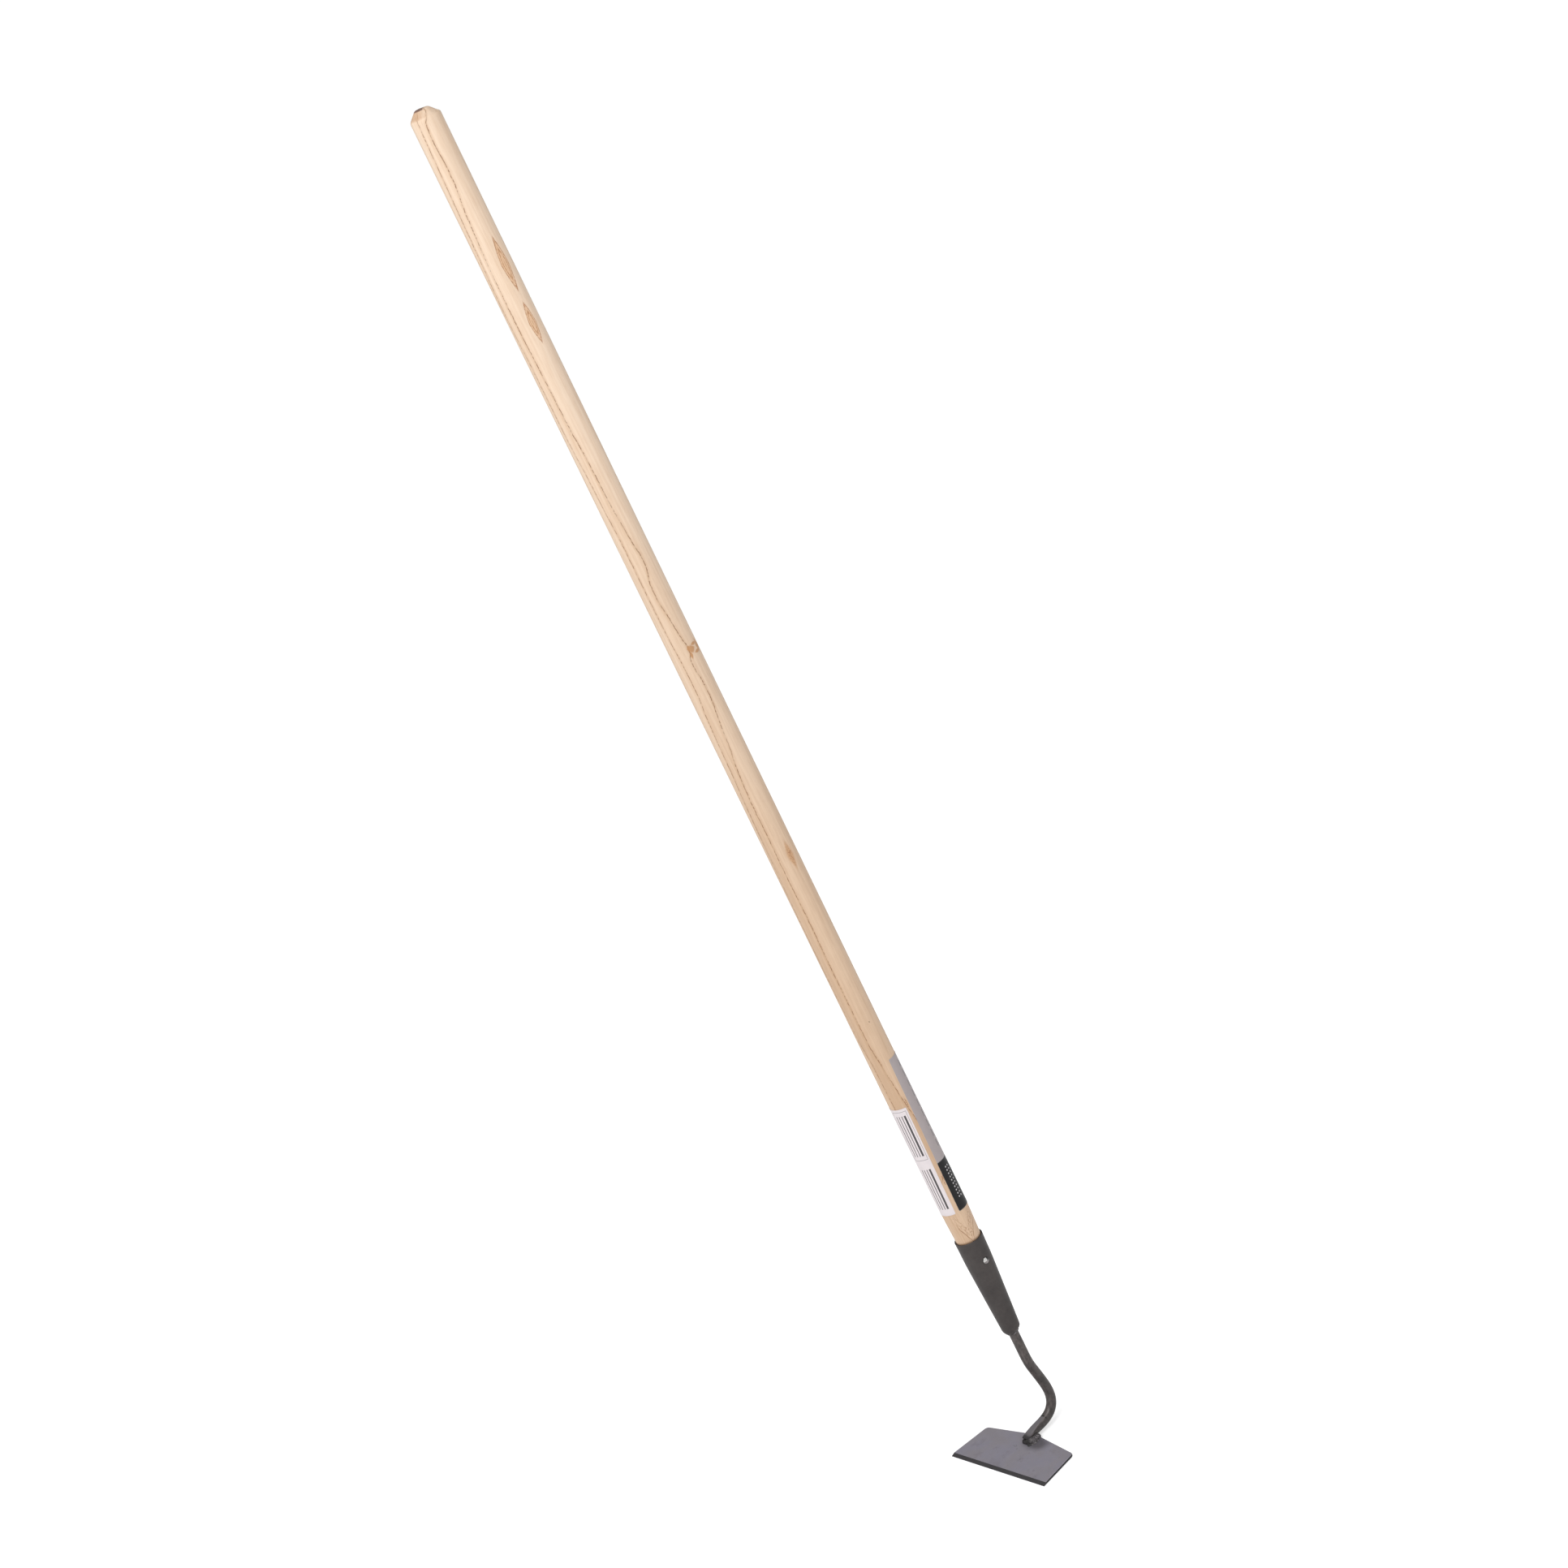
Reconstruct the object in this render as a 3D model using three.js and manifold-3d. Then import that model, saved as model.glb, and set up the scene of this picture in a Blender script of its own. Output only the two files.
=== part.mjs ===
// Grub hoe: ash handle, tapered steel socket with one cross rivet, gooseneck rod, welded blade.
// Millimetres, right-handed, +Z up. The handle stands upright.
// Origin: on the flat underside of the blade, in the symmetry plane (Y = 0), about midway
// between the blade's rear apex and its cutting edge. The handle axis is X = AXIS_X, Y = 0.
// +X points from the handle towards the cutting edge, +Y is along the cutting edge.
// Every piece but the blade is built in the shaft frame: the handle axis is its Z axis and
// z = 0 is the socket mouth, so a depth below the mouth is a negative z.
import * as THREE from 'three';
import { mergeVertices } from 'three/addons/utils/BufferGeometryUtils.js';
import Module from 'manifold-3d';

const wasm = await Module();
wasm.setup();

// ---------------------------------------------------------------- shared dimensions
const GAP = 0.3;                 // clearance between resting neighbours
const AXIS_X = -60;              // handle axis, measured from the origin
const RIM_Z = 232.8;             // height of the socket mouth above the origin
const BLADE_T = 2.0;             // plate thickness
const BLADE_APEX_X = -30.0;      // rear corner of the blade, on the symmetry plane
const BLADE_TOP_Z = -(RIM_Z - BLADE_T);    // blade top face, in the shaft frame
const FLOOR_Z = BLADE_TOP_Z + GAP;         // underside of the rod's toe and of the blade weld

// socket
const SOCKET_R_MOUTH = 15.35;
const SOCKET_R_UPPER = 14.6;     // the upper part hardly tapers, down to this radius
const SOCKET_R_SHOULDER = 10.2;
const SOCKET_R_END = 6.2;        // outer radius of the closed-in end, round the rod
const SOCKET_WALL = 1.45;
const LIP_DEPTH = 9;             // the mouth's slight flare ends here
const LIP_FLARE = 0.35;          // radius lost over the flare
const UPPER_DEPTH = 30;          // where the main taper starts
const SHOULDER_DEPTH = 114.0;
const SOCKET_LEN = 120.4;
const SOCKET_LEAN = 0.95;        // the small end sits this far forward of the handle axis

// handle
const HANDLE_TOP_Z = 1485.4 - RIM_Z;       // grip end, above the mouth
const HANDLE_R = 14.85;          // over the lower half
const HANDLE_R_RIM = 13.6;       // where it enters the socket
const HANDLE_R_TOP = 15.15;      // just below the grip end
const THICKEN_FROM = 640;        // height above the mouth where it starts to thicken
const THICKEN_END_DROP = 12.6;   // full thickness is reached this far below the grip end
const GRIP_ROUND = 7.9;          // rounding of the grip end
const TANG_LEN = 98;             // depth of the tang inside the socket
const TANG_R_UPPER = 12.6;       // tang radius where the socket starts to taper
const TANG_R_END = 8.9;
const TANG_CHAMFER_R = 1.2;
const TANG_CHAMFER_H = 1.5;

// rivet
const RIVET_DEPTH = 26;
const RIVET_SHANK_R = 2.4;
const RIVET_HEAD_R = 3.7;
const RIVET_HEAD_H = 1.5;
const RIVET_TURN = -4;           // degrees round the handle axis from +Y
const RIVET_SEGMENTS = 20;
const RIVET_HOLE_PLAY = 0.12;    // radial
const RIVET_HOLE_LEN = 80;       // passes right through the socket

// gooseneck rod
const ROD_R = 5.35;
const ROD_SIDES = 20;
const ROD_STEPS = 44;
const ROD_BORE_PLAY = 0.32;      // radial, in the socket's closed-in end
const TOE_END = 42.8;            // distance of the rod's lower end from the handle axis

// Rod centreline in the symmetry plane: [distance forward of the handle axis, depth]
const ROD_PATH = [
  [0.85, 103.6], [0.9, 113], [0.95, 121], [0.9, 131], [0.9, 141.4], [0.9, 151.5],
  [0.2, 161.5], [-1.8, 172], [-4.1, 183], [-5.9, 193.5], [-6.35, 200.5], [-5.6, 208.3],
  [-2.6, 215.4], [2.6, 220.6], [9.6, 223.6], [18.4, 225.1], [28.5, 225.4], [TOE_END, 225.4],
];

// Sloping top of the rod's wedge-shaped toe: [distance forward of the handle axis, depth]
const TOE_TOP = [[13, 219.9], [26.7, 222.05], [34.9, 224.1], [40.5, 225.9], [50, 228.3]];

// Steel lumps that make up the blade weld, centred on FLOOR_Z:
// [x from the toe's end, y, radius along X, radius along Y, radius along Z]
const WELD_LUMPS = [
  [2.2, -1.6, 2.6, 3.8, 3.4],
  [2.6, 3.4, 3.0, 4.2, 4.3],
  [1.2, 8.2, 3.8, 4.3, 4.6],
  [-4.0, 8.4, 4.4, 4.1, 4.4],
  [-8.8, 7.9, 4.0, 3.6, 3.8],
  [-1.6, -5.6, 4.2, 2.4, 2.3],
  [-7.4, -5.8, 4.2, 2.4, 2.3],
];

// labels: angles in degrees round the handle axis from +X towards +Y, heights above the mouth
const LABEL_T = 0.2;
const LABEL_LIFT = 0.08;         // gap between handle and label
const LABEL_STEP = 9;            // degrees per facet, nearly
const GREY_ARC = { from: 78, to: 233 };
const BLACK_TOP = 96.3;
const LABEL_WHITE = { from: -82, to: 60, bottom: 37.5, top: 167 };
const LABEL_GREY = { ...GREY_ARC, bottom: BLACK_TOP + 0.02, top: 221 };
const LABEL_BLACK = { ...GREY_ARC, bottom: 37.5, top: BLACK_TOP };

const MATERIALS = {
  ash: { color: 0xe3c7a2, roughness: 0.55, metalness: 0 },
  socketSteel: { color: 0x4b4745, roughness: 0.45, metalness: 0.6 },
  rivetSteel: { color: 0xb9b6b4, roughness: 0.25, metalness: 0.9 },
  rodSteel: { color: 0x545050, roughness: 0.45, metalness: 0.6 },
  socketWeld: { color: 0x464343, roughness: 0.6, metalness: 0.6 },
  bladeWeld: { color: 0x3c3a3a, roughness: 0.7, metalness: 0.5 },
  bladeSteel: { color: 0x7f7c84, roughness: 0.5, metalness: 0.6 },
  whiteLabel: { color: 0xe6dfe2, roughness: 0.5, metalness: 0 },
  greyLabel: { color: 0xa6a1a4, roughness: 0.5, metalness: 0 },
  blackLabel: { color: 0x242326, roughness: 0.5, metalness: 0 },
};

// ---------------------------------------------------------------- helpers
const DEG = Math.PI / 180;

const vectors = (points) => points.map(([x, y]) => new THREE.Vector2(x, y));

// point on a circle round the origin
const polar = (radius, angle) => [radius * Math.cos(angle), radius * Math.sin(angle)];

// turns a closed geometry into a Manifold, ready for boolean steps
function solid(geometry) {
  geometry.deleteAttribute('normal');
  geometry.deleteAttribute('uv');
  const merged = mergeVertices(geometry, 1e-4);
  return new wasm.Manifold(new wasm.Mesh({
    numProp: 3,
    vertProperties: new Float32Array(merged.attributes.position.array),
    triVerts: new Uint32Array(merged.index.array),
  }));
}

function toGeometry(manifold) {
  const mesh = manifold.getMesh();
  const geometry = new THREE.BufferGeometry();
  const positions = new Float32Array(mesh.vertProperties);
  geometry.setAttribute('position', new THREE.BufferAttribute(positions, 3));
  geometry.setIndex(new THREE.BufferAttribute(new Uint32Array(mesh.triVerts), 1));
  return geometry;
}

// lathe about +Z from [radius, z] pairs, with the outside listed from the bottom up
function lathe(points, segments) {
  return new THREE.LatheGeometry(vectors(points), segments).rotateX(Math.PI / 2);
}

function box([x0, x1], [y0, y1], [z0, z1]) {
  const geometry = new THREE.BoxGeometry(x1 - x0, y1 - y0, z1 - z0);
  geometry.translate((x0 + x1) / 2, (y0 + y1) / 2, (z0 + z1) / 2);
  return solid(geometry);
}

// [x, z] side profile, extruded along Y between -halfWidth and +halfWidth
function slab(points, halfWidth) {
  const geometry = new THREE.ExtrudeGeometry(new THREE.Shape(vectors(points)), {
    depth: 2 * halfWidth,
    bevelEnabled: false,
  });
  geometry.rotateX(Math.PI / 2);   // profile y becomes z, depth runs along -Y
  geometry.translate(0, halfWidth, 0);
  return solid(geometry);
}

// shears a geometry forward below the mouth, up to the full lean at the shoulder
function lean(geometry) {
  const position = geometry.attributes.position;
  for (let i = 0; i < position.count; i++) {
    const z = position.getZ(i);
    if (z < 0) {
      const shift = -SOCKET_LEAN * Math.max(z, -SHOULDER_DEPTH) / SHOULDER_DEPTH;
      position.setX(i, position.getX(i) + shift);
    }
  }
  return geometry;
}

// ---------------------------------------------------------------- handle
function makeHandle() {
  const profile = [   // [radius, z]
    [0, -TANG_LEN],
    [TANG_R_END - TANG_CHAMFER_R, -TANG_LEN],
    [TANG_R_END, -TANG_LEN + TANG_CHAMFER_H],
    [TANG_R_UPPER, -UPPER_DEPTH],
    [HANDLE_R_RIM - 0.15, -4],
    [HANDLE_R_RIM, 0],
    [HANDLE_R_RIM + 0.35, 12],
    [HANDLE_R - 0.35, 27],
    [HANDLE_R, 42],
    [HANDLE_R, 420],
    [HANDLE_R, THICKEN_FROM],
    [HANDLE_R_TOP, HANDLE_TOP_Z - THICKEN_END_DROP],
    [HANDLE_R_TOP, HANDLE_TOP_Z - GRIP_ROUND],
  ];
  for (const angle of [18, 36, 54, 72, 90]) {
    profile.push([
      HANDLE_R_TOP - GRIP_ROUND * (1 - Math.cos(angle * DEG)),
      HANDLE_TOP_Z - GRIP_ROUND * (1 - Math.sin(angle * DEG)),
    ]);
  }
  profile.push([0, HANDLE_TOP_Z]);
  return solid(lean(lathe(profile, 32))).subtract(makeRivetHole());
}

// ---------------------------------------------------------------- socket
function makeSocket() {
  const lipR = SOCKET_R_MOUTH - LIP_FLARE;
  const boreR = ROD_R + ROD_BORE_PLAY;
  const profile = [   // [radius, z]
    // outside, from the small end up
    [SOCKET_R_END, -SOCKET_LEN],
    [SOCKET_R_END + 0.9, -SOCKET_LEN + 0.35],
    [SOCKET_R_SHOULDER - 1.3, -SHOULDER_DEPTH - 2.3],
    [SOCKET_R_SHOULDER - 0.15, -SHOULDER_DEPTH],
    [SOCKET_R_SHOULDER, -SHOULDER_DEPTH + 2.0],
    [SOCKET_R_UPPER, -UPPER_DEPTH],
    [lipR, -LIP_DEPTH],
    // rounded rim
    [SOCKET_R_MOUTH, -0.5],
    [SOCKET_R_MOUTH - 0.3, 0],
    [SOCKET_R_MOUTH - SOCKET_WALL + 0.2, 0],
    [SOCKET_R_MOUTH - SOCKET_WALL, -0.4],
    // inside, from the mouth down
    [lipR - SOCKET_WALL, -LIP_DEPTH],
    [SOCKET_R_UPPER - SOCKET_WALL, -UPPER_DEPTH],
    [SOCKET_R_SHOULDER - SOCKET_WALL, -SHOULDER_DEPTH + 2.5],
    [boreR, -SHOULDER_DEPTH - 3.5],
    [boreR, -SOCKET_LEN],
    [SOCKET_R_END, -SOCKET_LEN],
  ];
  return solid(lean(lathe(profile, 32)))
    .subtract(makeRivetHole())
    .subtract(sweepRod(ROD_R + GAP));
}

// ---------------------------------------------------------------- rivet
// turns a geometry built along Y to the rivet's direction and drops it to its depth
function placeRivet(geometry) {
  return geometry.rotateZ(RIVET_TURN * DEG).translate(0, 0, -RIVET_DEPTH);
}

function makeRivetHole() {
  const radius = RIVET_SHANK_R + RIVET_HOLE_PLAY;
  return solid(placeRivet(
    new THREE.CylinderGeometry(radius, radius, RIVET_HOLE_LEN, RIVET_SEGMENTS)));
}

// low upset end on the -Y side, shank, domed head on the +Y side
function makeRivet() {
  const lipR = SOCKET_R_MOUTH - LIP_FLARE;
  const depthShare = (RIVET_DEPTH - LIP_DEPTH) / (UPPER_DEPTH - LIP_DEPTH);
  const socketR = lipR - (lipR - SOCKET_R_UPPER) * depthShare;
  const headBase = socketR + 0.02;
  const underHead = headBase + GAP;
  const profile = [   // [radius, y]
    [0, -headBase - RIVET_HEAD_H * 0.7],
    [RIVET_SHANK_R + 0.5, -headBase - RIVET_HEAD_H * 0.45],
    [RIVET_SHANK_R + 0.7, -underHead],
    [RIVET_SHANK_R, -underHead + 0.01],
    [RIVET_SHANK_R, underHead - 0.01],
    [RIVET_HEAD_R, underHead],
  ];
  for (const angle of [15, 38, 62]) {
    profile.push([
      RIVET_HEAD_R * Math.cos(angle * DEG),
      underHead + RIVET_HEAD_H * Math.sin(angle * DEG),
    ]);
  }
  profile.push([0, underHead + RIVET_HEAD_H]);
  return placeRivet(new THREE.LatheGeometry(vectors(profile), RIVET_SEGMENTS));
}

// ---------------------------------------------------------------- gooseneck rod
// round bar of the given radius along the rod's centreline
function sweepRod(radius) {
  const points = ROD_PATH.map(([x, depth]) => new THREE.Vector3(x, 0, -depth));
  const section = [];
  for (let i = 0; i < ROD_SIDES; i++) {
    section.push(polar(radius, (i / ROD_SIDES) * 2 * Math.PI));
  }
  const circle = new THREE.Shape(vectors(section));
  circle.closePath();
  return solid(new THREE.ExtrudeGeometry(circle, {
    steps: ROD_STEPS,
    extrudePath: new THREE.CatmullRomCurve3(points, false, 'centripetal'),
    bevelEnabled: false,
  }));
}

// the toe is a wedge: sloping on top, flat underneath where it lies on the blade
function makeRod() {
  const cutTopZ = -200;
  const aboveToe = slab([
    [TOE_TOP[0][0], cutTopZ],
    ...TOE_TOP.map(([x, depth]) => [x, -depth]),
    [TOE_TOP.at(-1)[0], cutTopZ],
  ], 20);
  const belowFloor = box([-30, 80], [-20, 20], [FLOOR_Z - 30, FLOOR_Z]);
  return sweepRod(ROD_R).subtract(aboveToe).subtract(belowFloor);
}

// ---------------------------------------------------------------- welds
// ring round the rod, just below the socket's small end
function makeSocketWeld() {
  const innerR = ROD_R + 0.3;
  const topZ = -SOCKET_LEN - GAP;
  const profile = [   // [radius, z]
    [innerR, topZ],
    [innerR, -SOCKET_LEN - 2.3],
    [ROD_R + 0.6, -SOCKET_LEN - 2.2],
    [ROD_R + 1.15, -SOCKET_LEN - 1.3],
    [ROD_R + 1.3, -SOCKET_LEN - 0.8],
    [ROD_R + 1.1, topZ],
    [innerR, topZ],
  ];
  return lathe(profile, 24).translate(SOCKET_LEAN, 0, 0);
}

function weldLump([x, y, radiusX, radiusY, radiusZ]) {
  const geometry = new THREE.SphereGeometry(1, 12, 8);
  geometry.rotateX(Math.PI / 2);   // poles onto Z
  geometry.scale(radiusX, radiusY, radiusZ);
  geometry.translate(TOE_END + x, y, FLOOR_Z);
  return solid(geometry);
}

// lumps round the toe, trimmed to stand on the blade and to clear the rod
function makeBladeWeld() {
  const lumps = WELD_LUMPS.map(weldLump).reduce((joined, lump) => joined.add(lump));
  const rearX = BLADE_APEX_X - AXIS_X + 0.8;
  const aboveBlade = box([rearX, 80], [-30, 30], [FLOOR_Z, BLADE_TOP_Z + 30]);
  const clearR = ROD_R + GAP;
  const toeRoom = box([20, TOE_END + GAP], [-clearR, clearR], [FLOOR_Z - 5, FLOOR_Z + 4]);
  return lumps.intersect(aboveBlade).subtract(sweepRod(clearR)).subtract(toeRoom);
}

// ---------------------------------------------------------------- blade, in the root frame
const BLADE_FRONT_W = 154;       // width at the cutting edge
const BLADE_BACK_W = 144;        // width at the two back corners
const BLADE_EDGE_X = 29.8;       // cutting edge
const BLADE_BACK_X = -20.1;      // the two back corners
const BLADE_BACK_R = 3.6;        // the corner rounding starts this far along each side
const BEVEL_X = 25.5;            // where the bevel starts on the top face
const EDGE_LAND = 0.35;          // thickness left at the cutting edge
const APEX_FLAT_INSET = 0.25;    // the apex is cut off square this far in
const APEX_FLAT_HALF = 3;

function bladeOutline() {
  const frontY = BLADE_FRONT_W / 2;
  const backY = BLADE_BACK_W / 2;
  const corner = new THREE.Vector2(BLADE_BACK_X, backY);
  const sideDir = new THREE.Vector2(BLADE_EDGE_X - BLADE_BACK_X, frontY - backY).normalize();
  const rearDir = new THREE.Vector2(BLADE_APEX_X - BLADE_BACK_X, -backY).normalize();
  // where the rounding of the +Y back corner meets the side and the rear edge
  const side = corner.clone().addScaledVector(sideDir, BLADE_BACK_R);
  const rear = corner.clone().addScaledVector(rearDir, BLADE_BACK_R);
  const apexX = BLADE_APEX_X + APEX_FLAT_INSET;

  const outline = new THREE.Shape();
  outline.moveTo(BLADE_EDGE_X, -frontY);
  outline.lineTo(BLADE_EDGE_X, frontY);
  outline.lineTo(side.x, side.y);
  outline.quadraticCurveTo(corner.x, corner.y, rear.x, rear.y);
  outline.lineTo(apexX, APEX_FLAT_HALF);
  outline.lineTo(apexX, -APEX_FLAT_HALF);
  outline.lineTo(rear.x, -rear.y);
  outline.quadraticCurveTo(corner.x, -corner.y, side.x, -side.y);
  outline.closePath();
  return outline;
}

function makeBlade() {
  const plate = solid(new THREE.ExtrudeGeometry(bladeOutline(), {
    depth: BLADE_T,
    bevelEnabled: false,
    curveSegments: 6,
  }));
  const margin = 5;   // how far the cutter reaches past the plate
  const bevelCut = slab([
    [BEVEL_X, BLADE_T],
    [BLADE_EDGE_X, EDGE_LAND],
    [BLADE_EDGE_X + margin, EDGE_LAND],
    [BLADE_EDGE_X + margin, BLADE_T + margin],
    [BEVEL_X, BLADE_T + margin],
  ], 100);
  return plate.subtract(bevelCut);
}

// ---------------------------------------------------------------- labels
// thin curved sheet wrapped round the handle
function makeLabel({ from, to, bottom, top }) {
  const innerR = HANDLE_R + LABEL_LIFT;
  const outerR = innerR + LABEL_T;
  const facets = Math.max(8, Math.round((to - from) / LABEL_STEP));
  const outer = [];
  const inner = [];
  for (let i = 0; i <= facets; i++) {
    const angle = (from + (to - from) * i / facets) * DEG;
    outer.push(polar(outerR, angle));
    inner.unshift(polar(innerR, angle));
  }
  const section = new THREE.Shape(vectors([...outer, ...inner]));
  const geometry = new THREE.ExtrudeGeometry(section, {
    depth: top - bottom,
    bevelEnabled: false,
  });
  return geometry.translate(0, 0, bottom);
}

// ---------------------------------------------------------------- assembly
const root = new THREE.Group();
root.name = 'grub_hoe';
const shaft = new THREE.Group();
shaft.position.set(AXIS_X, 0, RIM_Z);
root.add(shaft);

function addPiece(parent, name, geometry, material) {
  const mesh = new THREE.Mesh(geometry, new THREE.MeshStandardMaterial(material));
  mesh.name = name;
  parent.add(mesh);
}

addPiece(shaft, 'handle', toGeometry(makeHandle()), MATERIALS.ash);
addPiece(shaft, 'socket', toGeometry(makeSocket()), MATERIALS.socketSteel);
addPiece(shaft, 'socket_rivet', makeRivet(), MATERIALS.rivetSteel);
addPiece(shaft, 'gooseneck_rod', toGeometry(makeRod()), MATERIALS.rodSteel);
addPiece(shaft, 'socket_weld', makeSocketWeld(), MATERIALS.socketWeld);
addPiece(shaft, 'blade_weld', toGeometry(makeBladeWeld()), MATERIALS.bladeWeld);
addPiece(root, 'blade', toGeometry(makeBlade()), MATERIALS.bladeSteel);
addPiece(shaft, 'label_white', makeLabel(LABEL_WHITE), MATERIALS.whiteLabel);
addPiece(shaft, 'label_grey', makeLabel(LABEL_GREY), MATERIALS.greyLabel);
addPiece(shaft, 'label_black_band', makeLabel(LABEL_BLACK), MATERIALS.blackLabel);

export default root;
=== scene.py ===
"""A long-handled gooseneck tool: turned ash handle, forged socket, bent bar and flat blade.

The blade lies flat on the floor, z = 0 to PLATE, with its ground cutting edge at +X and its
pointed end at -X. The handle stands upright along Z at x = AX, y = 0. Piece sizes are in mm
and heights are mostly measured from the socket mouth, RIM. Azimuths run from +X towards +Y.
"""
import functools
import math
import operator
import random

import bpy
import bmesh
import numpy as np
from mathutils import Matrix, Vector, noise


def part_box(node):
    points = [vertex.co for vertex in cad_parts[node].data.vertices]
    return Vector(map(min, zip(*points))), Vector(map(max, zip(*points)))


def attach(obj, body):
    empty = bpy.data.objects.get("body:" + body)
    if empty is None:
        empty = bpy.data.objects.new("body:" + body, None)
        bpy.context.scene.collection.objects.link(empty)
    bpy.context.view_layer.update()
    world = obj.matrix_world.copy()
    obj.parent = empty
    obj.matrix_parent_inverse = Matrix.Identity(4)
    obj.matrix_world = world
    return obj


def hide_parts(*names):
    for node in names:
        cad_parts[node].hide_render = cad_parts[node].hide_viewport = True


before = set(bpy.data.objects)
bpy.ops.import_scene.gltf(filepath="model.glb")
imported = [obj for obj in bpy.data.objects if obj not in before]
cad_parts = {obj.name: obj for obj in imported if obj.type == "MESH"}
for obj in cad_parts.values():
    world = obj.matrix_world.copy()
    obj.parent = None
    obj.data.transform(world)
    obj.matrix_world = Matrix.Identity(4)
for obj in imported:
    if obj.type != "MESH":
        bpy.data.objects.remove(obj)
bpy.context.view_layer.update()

MM = 0.001

random.seed(7)
np.random.seed(7)

# ------------------------------------------------------------------ driving dimensions, mm
handle_lo, handle_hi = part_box("handle")
socket_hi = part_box("socket")[1]
blade_lo, blade_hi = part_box("blade")
AX = (handle_lo[0] + handle_hi[0]) / 2 / MM      # x of the handle axis
RIM = socket_hi[2] / MM                          # height of the socket mouth
TOP = handle_hi[2] / MM - RIM                    # grip end above the mouth
PLATE = blade_hi[2] / MM                         # blade thickness
EDGE_X = blade_hi[0] / MM
APEX_X = blade_lo[0] / MM
EDGE_WIDTH = (blade_hi[1] - blade_lo[1]) / MM

HANDLE_R = 14.85
GRIP_SWELL = 0.30                                # extra radius at the grip end
SOCKET_LENGTH = 114.0
SOCKET_LEAN = 0.95                               # x shift of the socket's lower end
SOCKET_WALL = 1.45
RIVET_Z = -25.8                                  # from the mouth
RIVET_AZ = math.radians(86.0)
BACK_X = AX + 39.9                               # x of the blade's two widest corners
VIEW_AZ = math.radians(60.0)                     # the side that faces the camera

WHITE_TOP, WHITE_BOTTOM = 167.0, 37.0            # white label, above the mouth
WHITE_MID = (WHITE_TOP + WHITE_BOTTOM) / 2
LABEL_SKEW = 0.046                               # degrees of azimuth per mm above WHITE_MID
LABEL_GAP = 0.02                                 # label's inner face off the wood
LABEL_THICK = 0.18


# ------------------------------------------------------------------ mesh helpers
def link_object(name, mesh):
    for polygon in mesh.polygons:
        polygon.use_smooth = True
    ob = bpy.data.objects.new(name, mesh)
    bpy.context.scene.collection.objects.link(ob)
    return ob


def make_object(name, verts, faces):
    """A smooth object from vertices in mm."""
    mesh = bpy.data.meshes.new(name)
    mesh.from_pydata((np.array(verts) * MM).tolist(), [], faces)
    mesh.validate()
    bm = bmesh.new()
    bm.from_mesh(mesh)
    bmesh.ops.remove_doubles(bm, verts=bm.verts, dist=1e-7)
    bmesh.ops.recalc_face_normals(bm, faces=bm.faces)
    bm.to_mesh(mesh)
    bm.free()
    return link_object(name, mesh)


def apply_modifiers(ob):
    depsgraph = bpy.context.evaluated_depsgraph_get()
    mesh = bpy.data.meshes.new_from_object(ob.evaluated_get(depsgraph))
    ob.modifiers.clear()
    old = ob.data
    ob.data = mesh
    mesh.name = ob.name
    bpy.data.meshes.remove(old)


def weight_normals(ob):
    modifier = ob.modifiers.new("wn", "WEIGHTED_NORMAL")
    modifier.mode = "FACE_AREA"
    modifier.weight = 60
    modifier.keep_sharp = True
    apply_modifiers(ob)
    return ob


def fbm(x, y, z, octaves=3):
    """Layered noise, about -1 to 1."""
    value, amplitude, total = 0.0, 1.0, 0.0
    for _ in range(octaves):
        value += amplitude * noise.noise(Vector((x, y, z)))
        total += amplitude
        amplitude *= 0.5
        x, y, z = x * 2.03 + 11.1, y * 2.03 + 3.7, z * 2.03 + 5.9
    return value / total


def noise_round(angles, scale, along, octaves=1, shift=(0.0, 0.0)):
    """Noise sampled round a circle of radius scale, so that it closes on itself."""
    return np.array([fbm(math.cos(t) * scale + shift[0], math.sin(t) * scale + shift[1],
                         along, octaves) for t in angles])


def circle(segments):
    return np.arange(segments) * 2 * math.pi / segments


def polar(radius, angles, z, lean=0.0):
    """Points round the handle axis at height z from the mouth, shifted by lean in x."""
    x = AX + radius * np.cos(angles)
    y = radius * np.sin(angles)
    return np.stack([x + lean, y, RIM + z + 0 * angles], 1)


def lean_at(z):
    """The x shift of socket and tang, growing downwards from the mouth."""
    return SOCKET_LEAN * min(-z, SOCKET_LENGTH) / SOCKET_LENGTH if z < 0 else 0.0


def join_rings(rings, segments, closed_profile=False):
    faces = []
    count = len(rings)
    for i in range(count if closed_profile else count - 1):
        a, b = i * segments, ((i + 1) % count) * segments
        for j in range(segments):
            k = (j + 1) % segments
            faces.append((a + j, a + k, b + k, b + j))
    return np.concatenate(rings), faces


def join_and_cap(rings, segments, caps):
    """Joined rings with a fan of triangles at each end; caps lists (is last ring, centre)."""
    verts, faces = join_rings(rings, segments)
    last = (len(rings) - 1) * segments
    for j in range(segments):
        k = (j + 1) % segments
        for centre, (at_last, _) in enumerate(caps, start=len(verts)):
            faces.append((last + j, last + k, centre) if at_last else (k, j, centre))
    return np.vstack([verts] + [point for _, point in caps]), faces


# ------------------------------------------------------------------ shader helpers
def linear(channel):
    channel = channel / 255.0
    return channel / 12.92 if channel <= 0.04045 else ((channel + 0.055) / 1.055) ** 2.4


def srgb(red, green, blue):
    return (linear(red), linear(green), linear(blue), 1.0)


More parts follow.
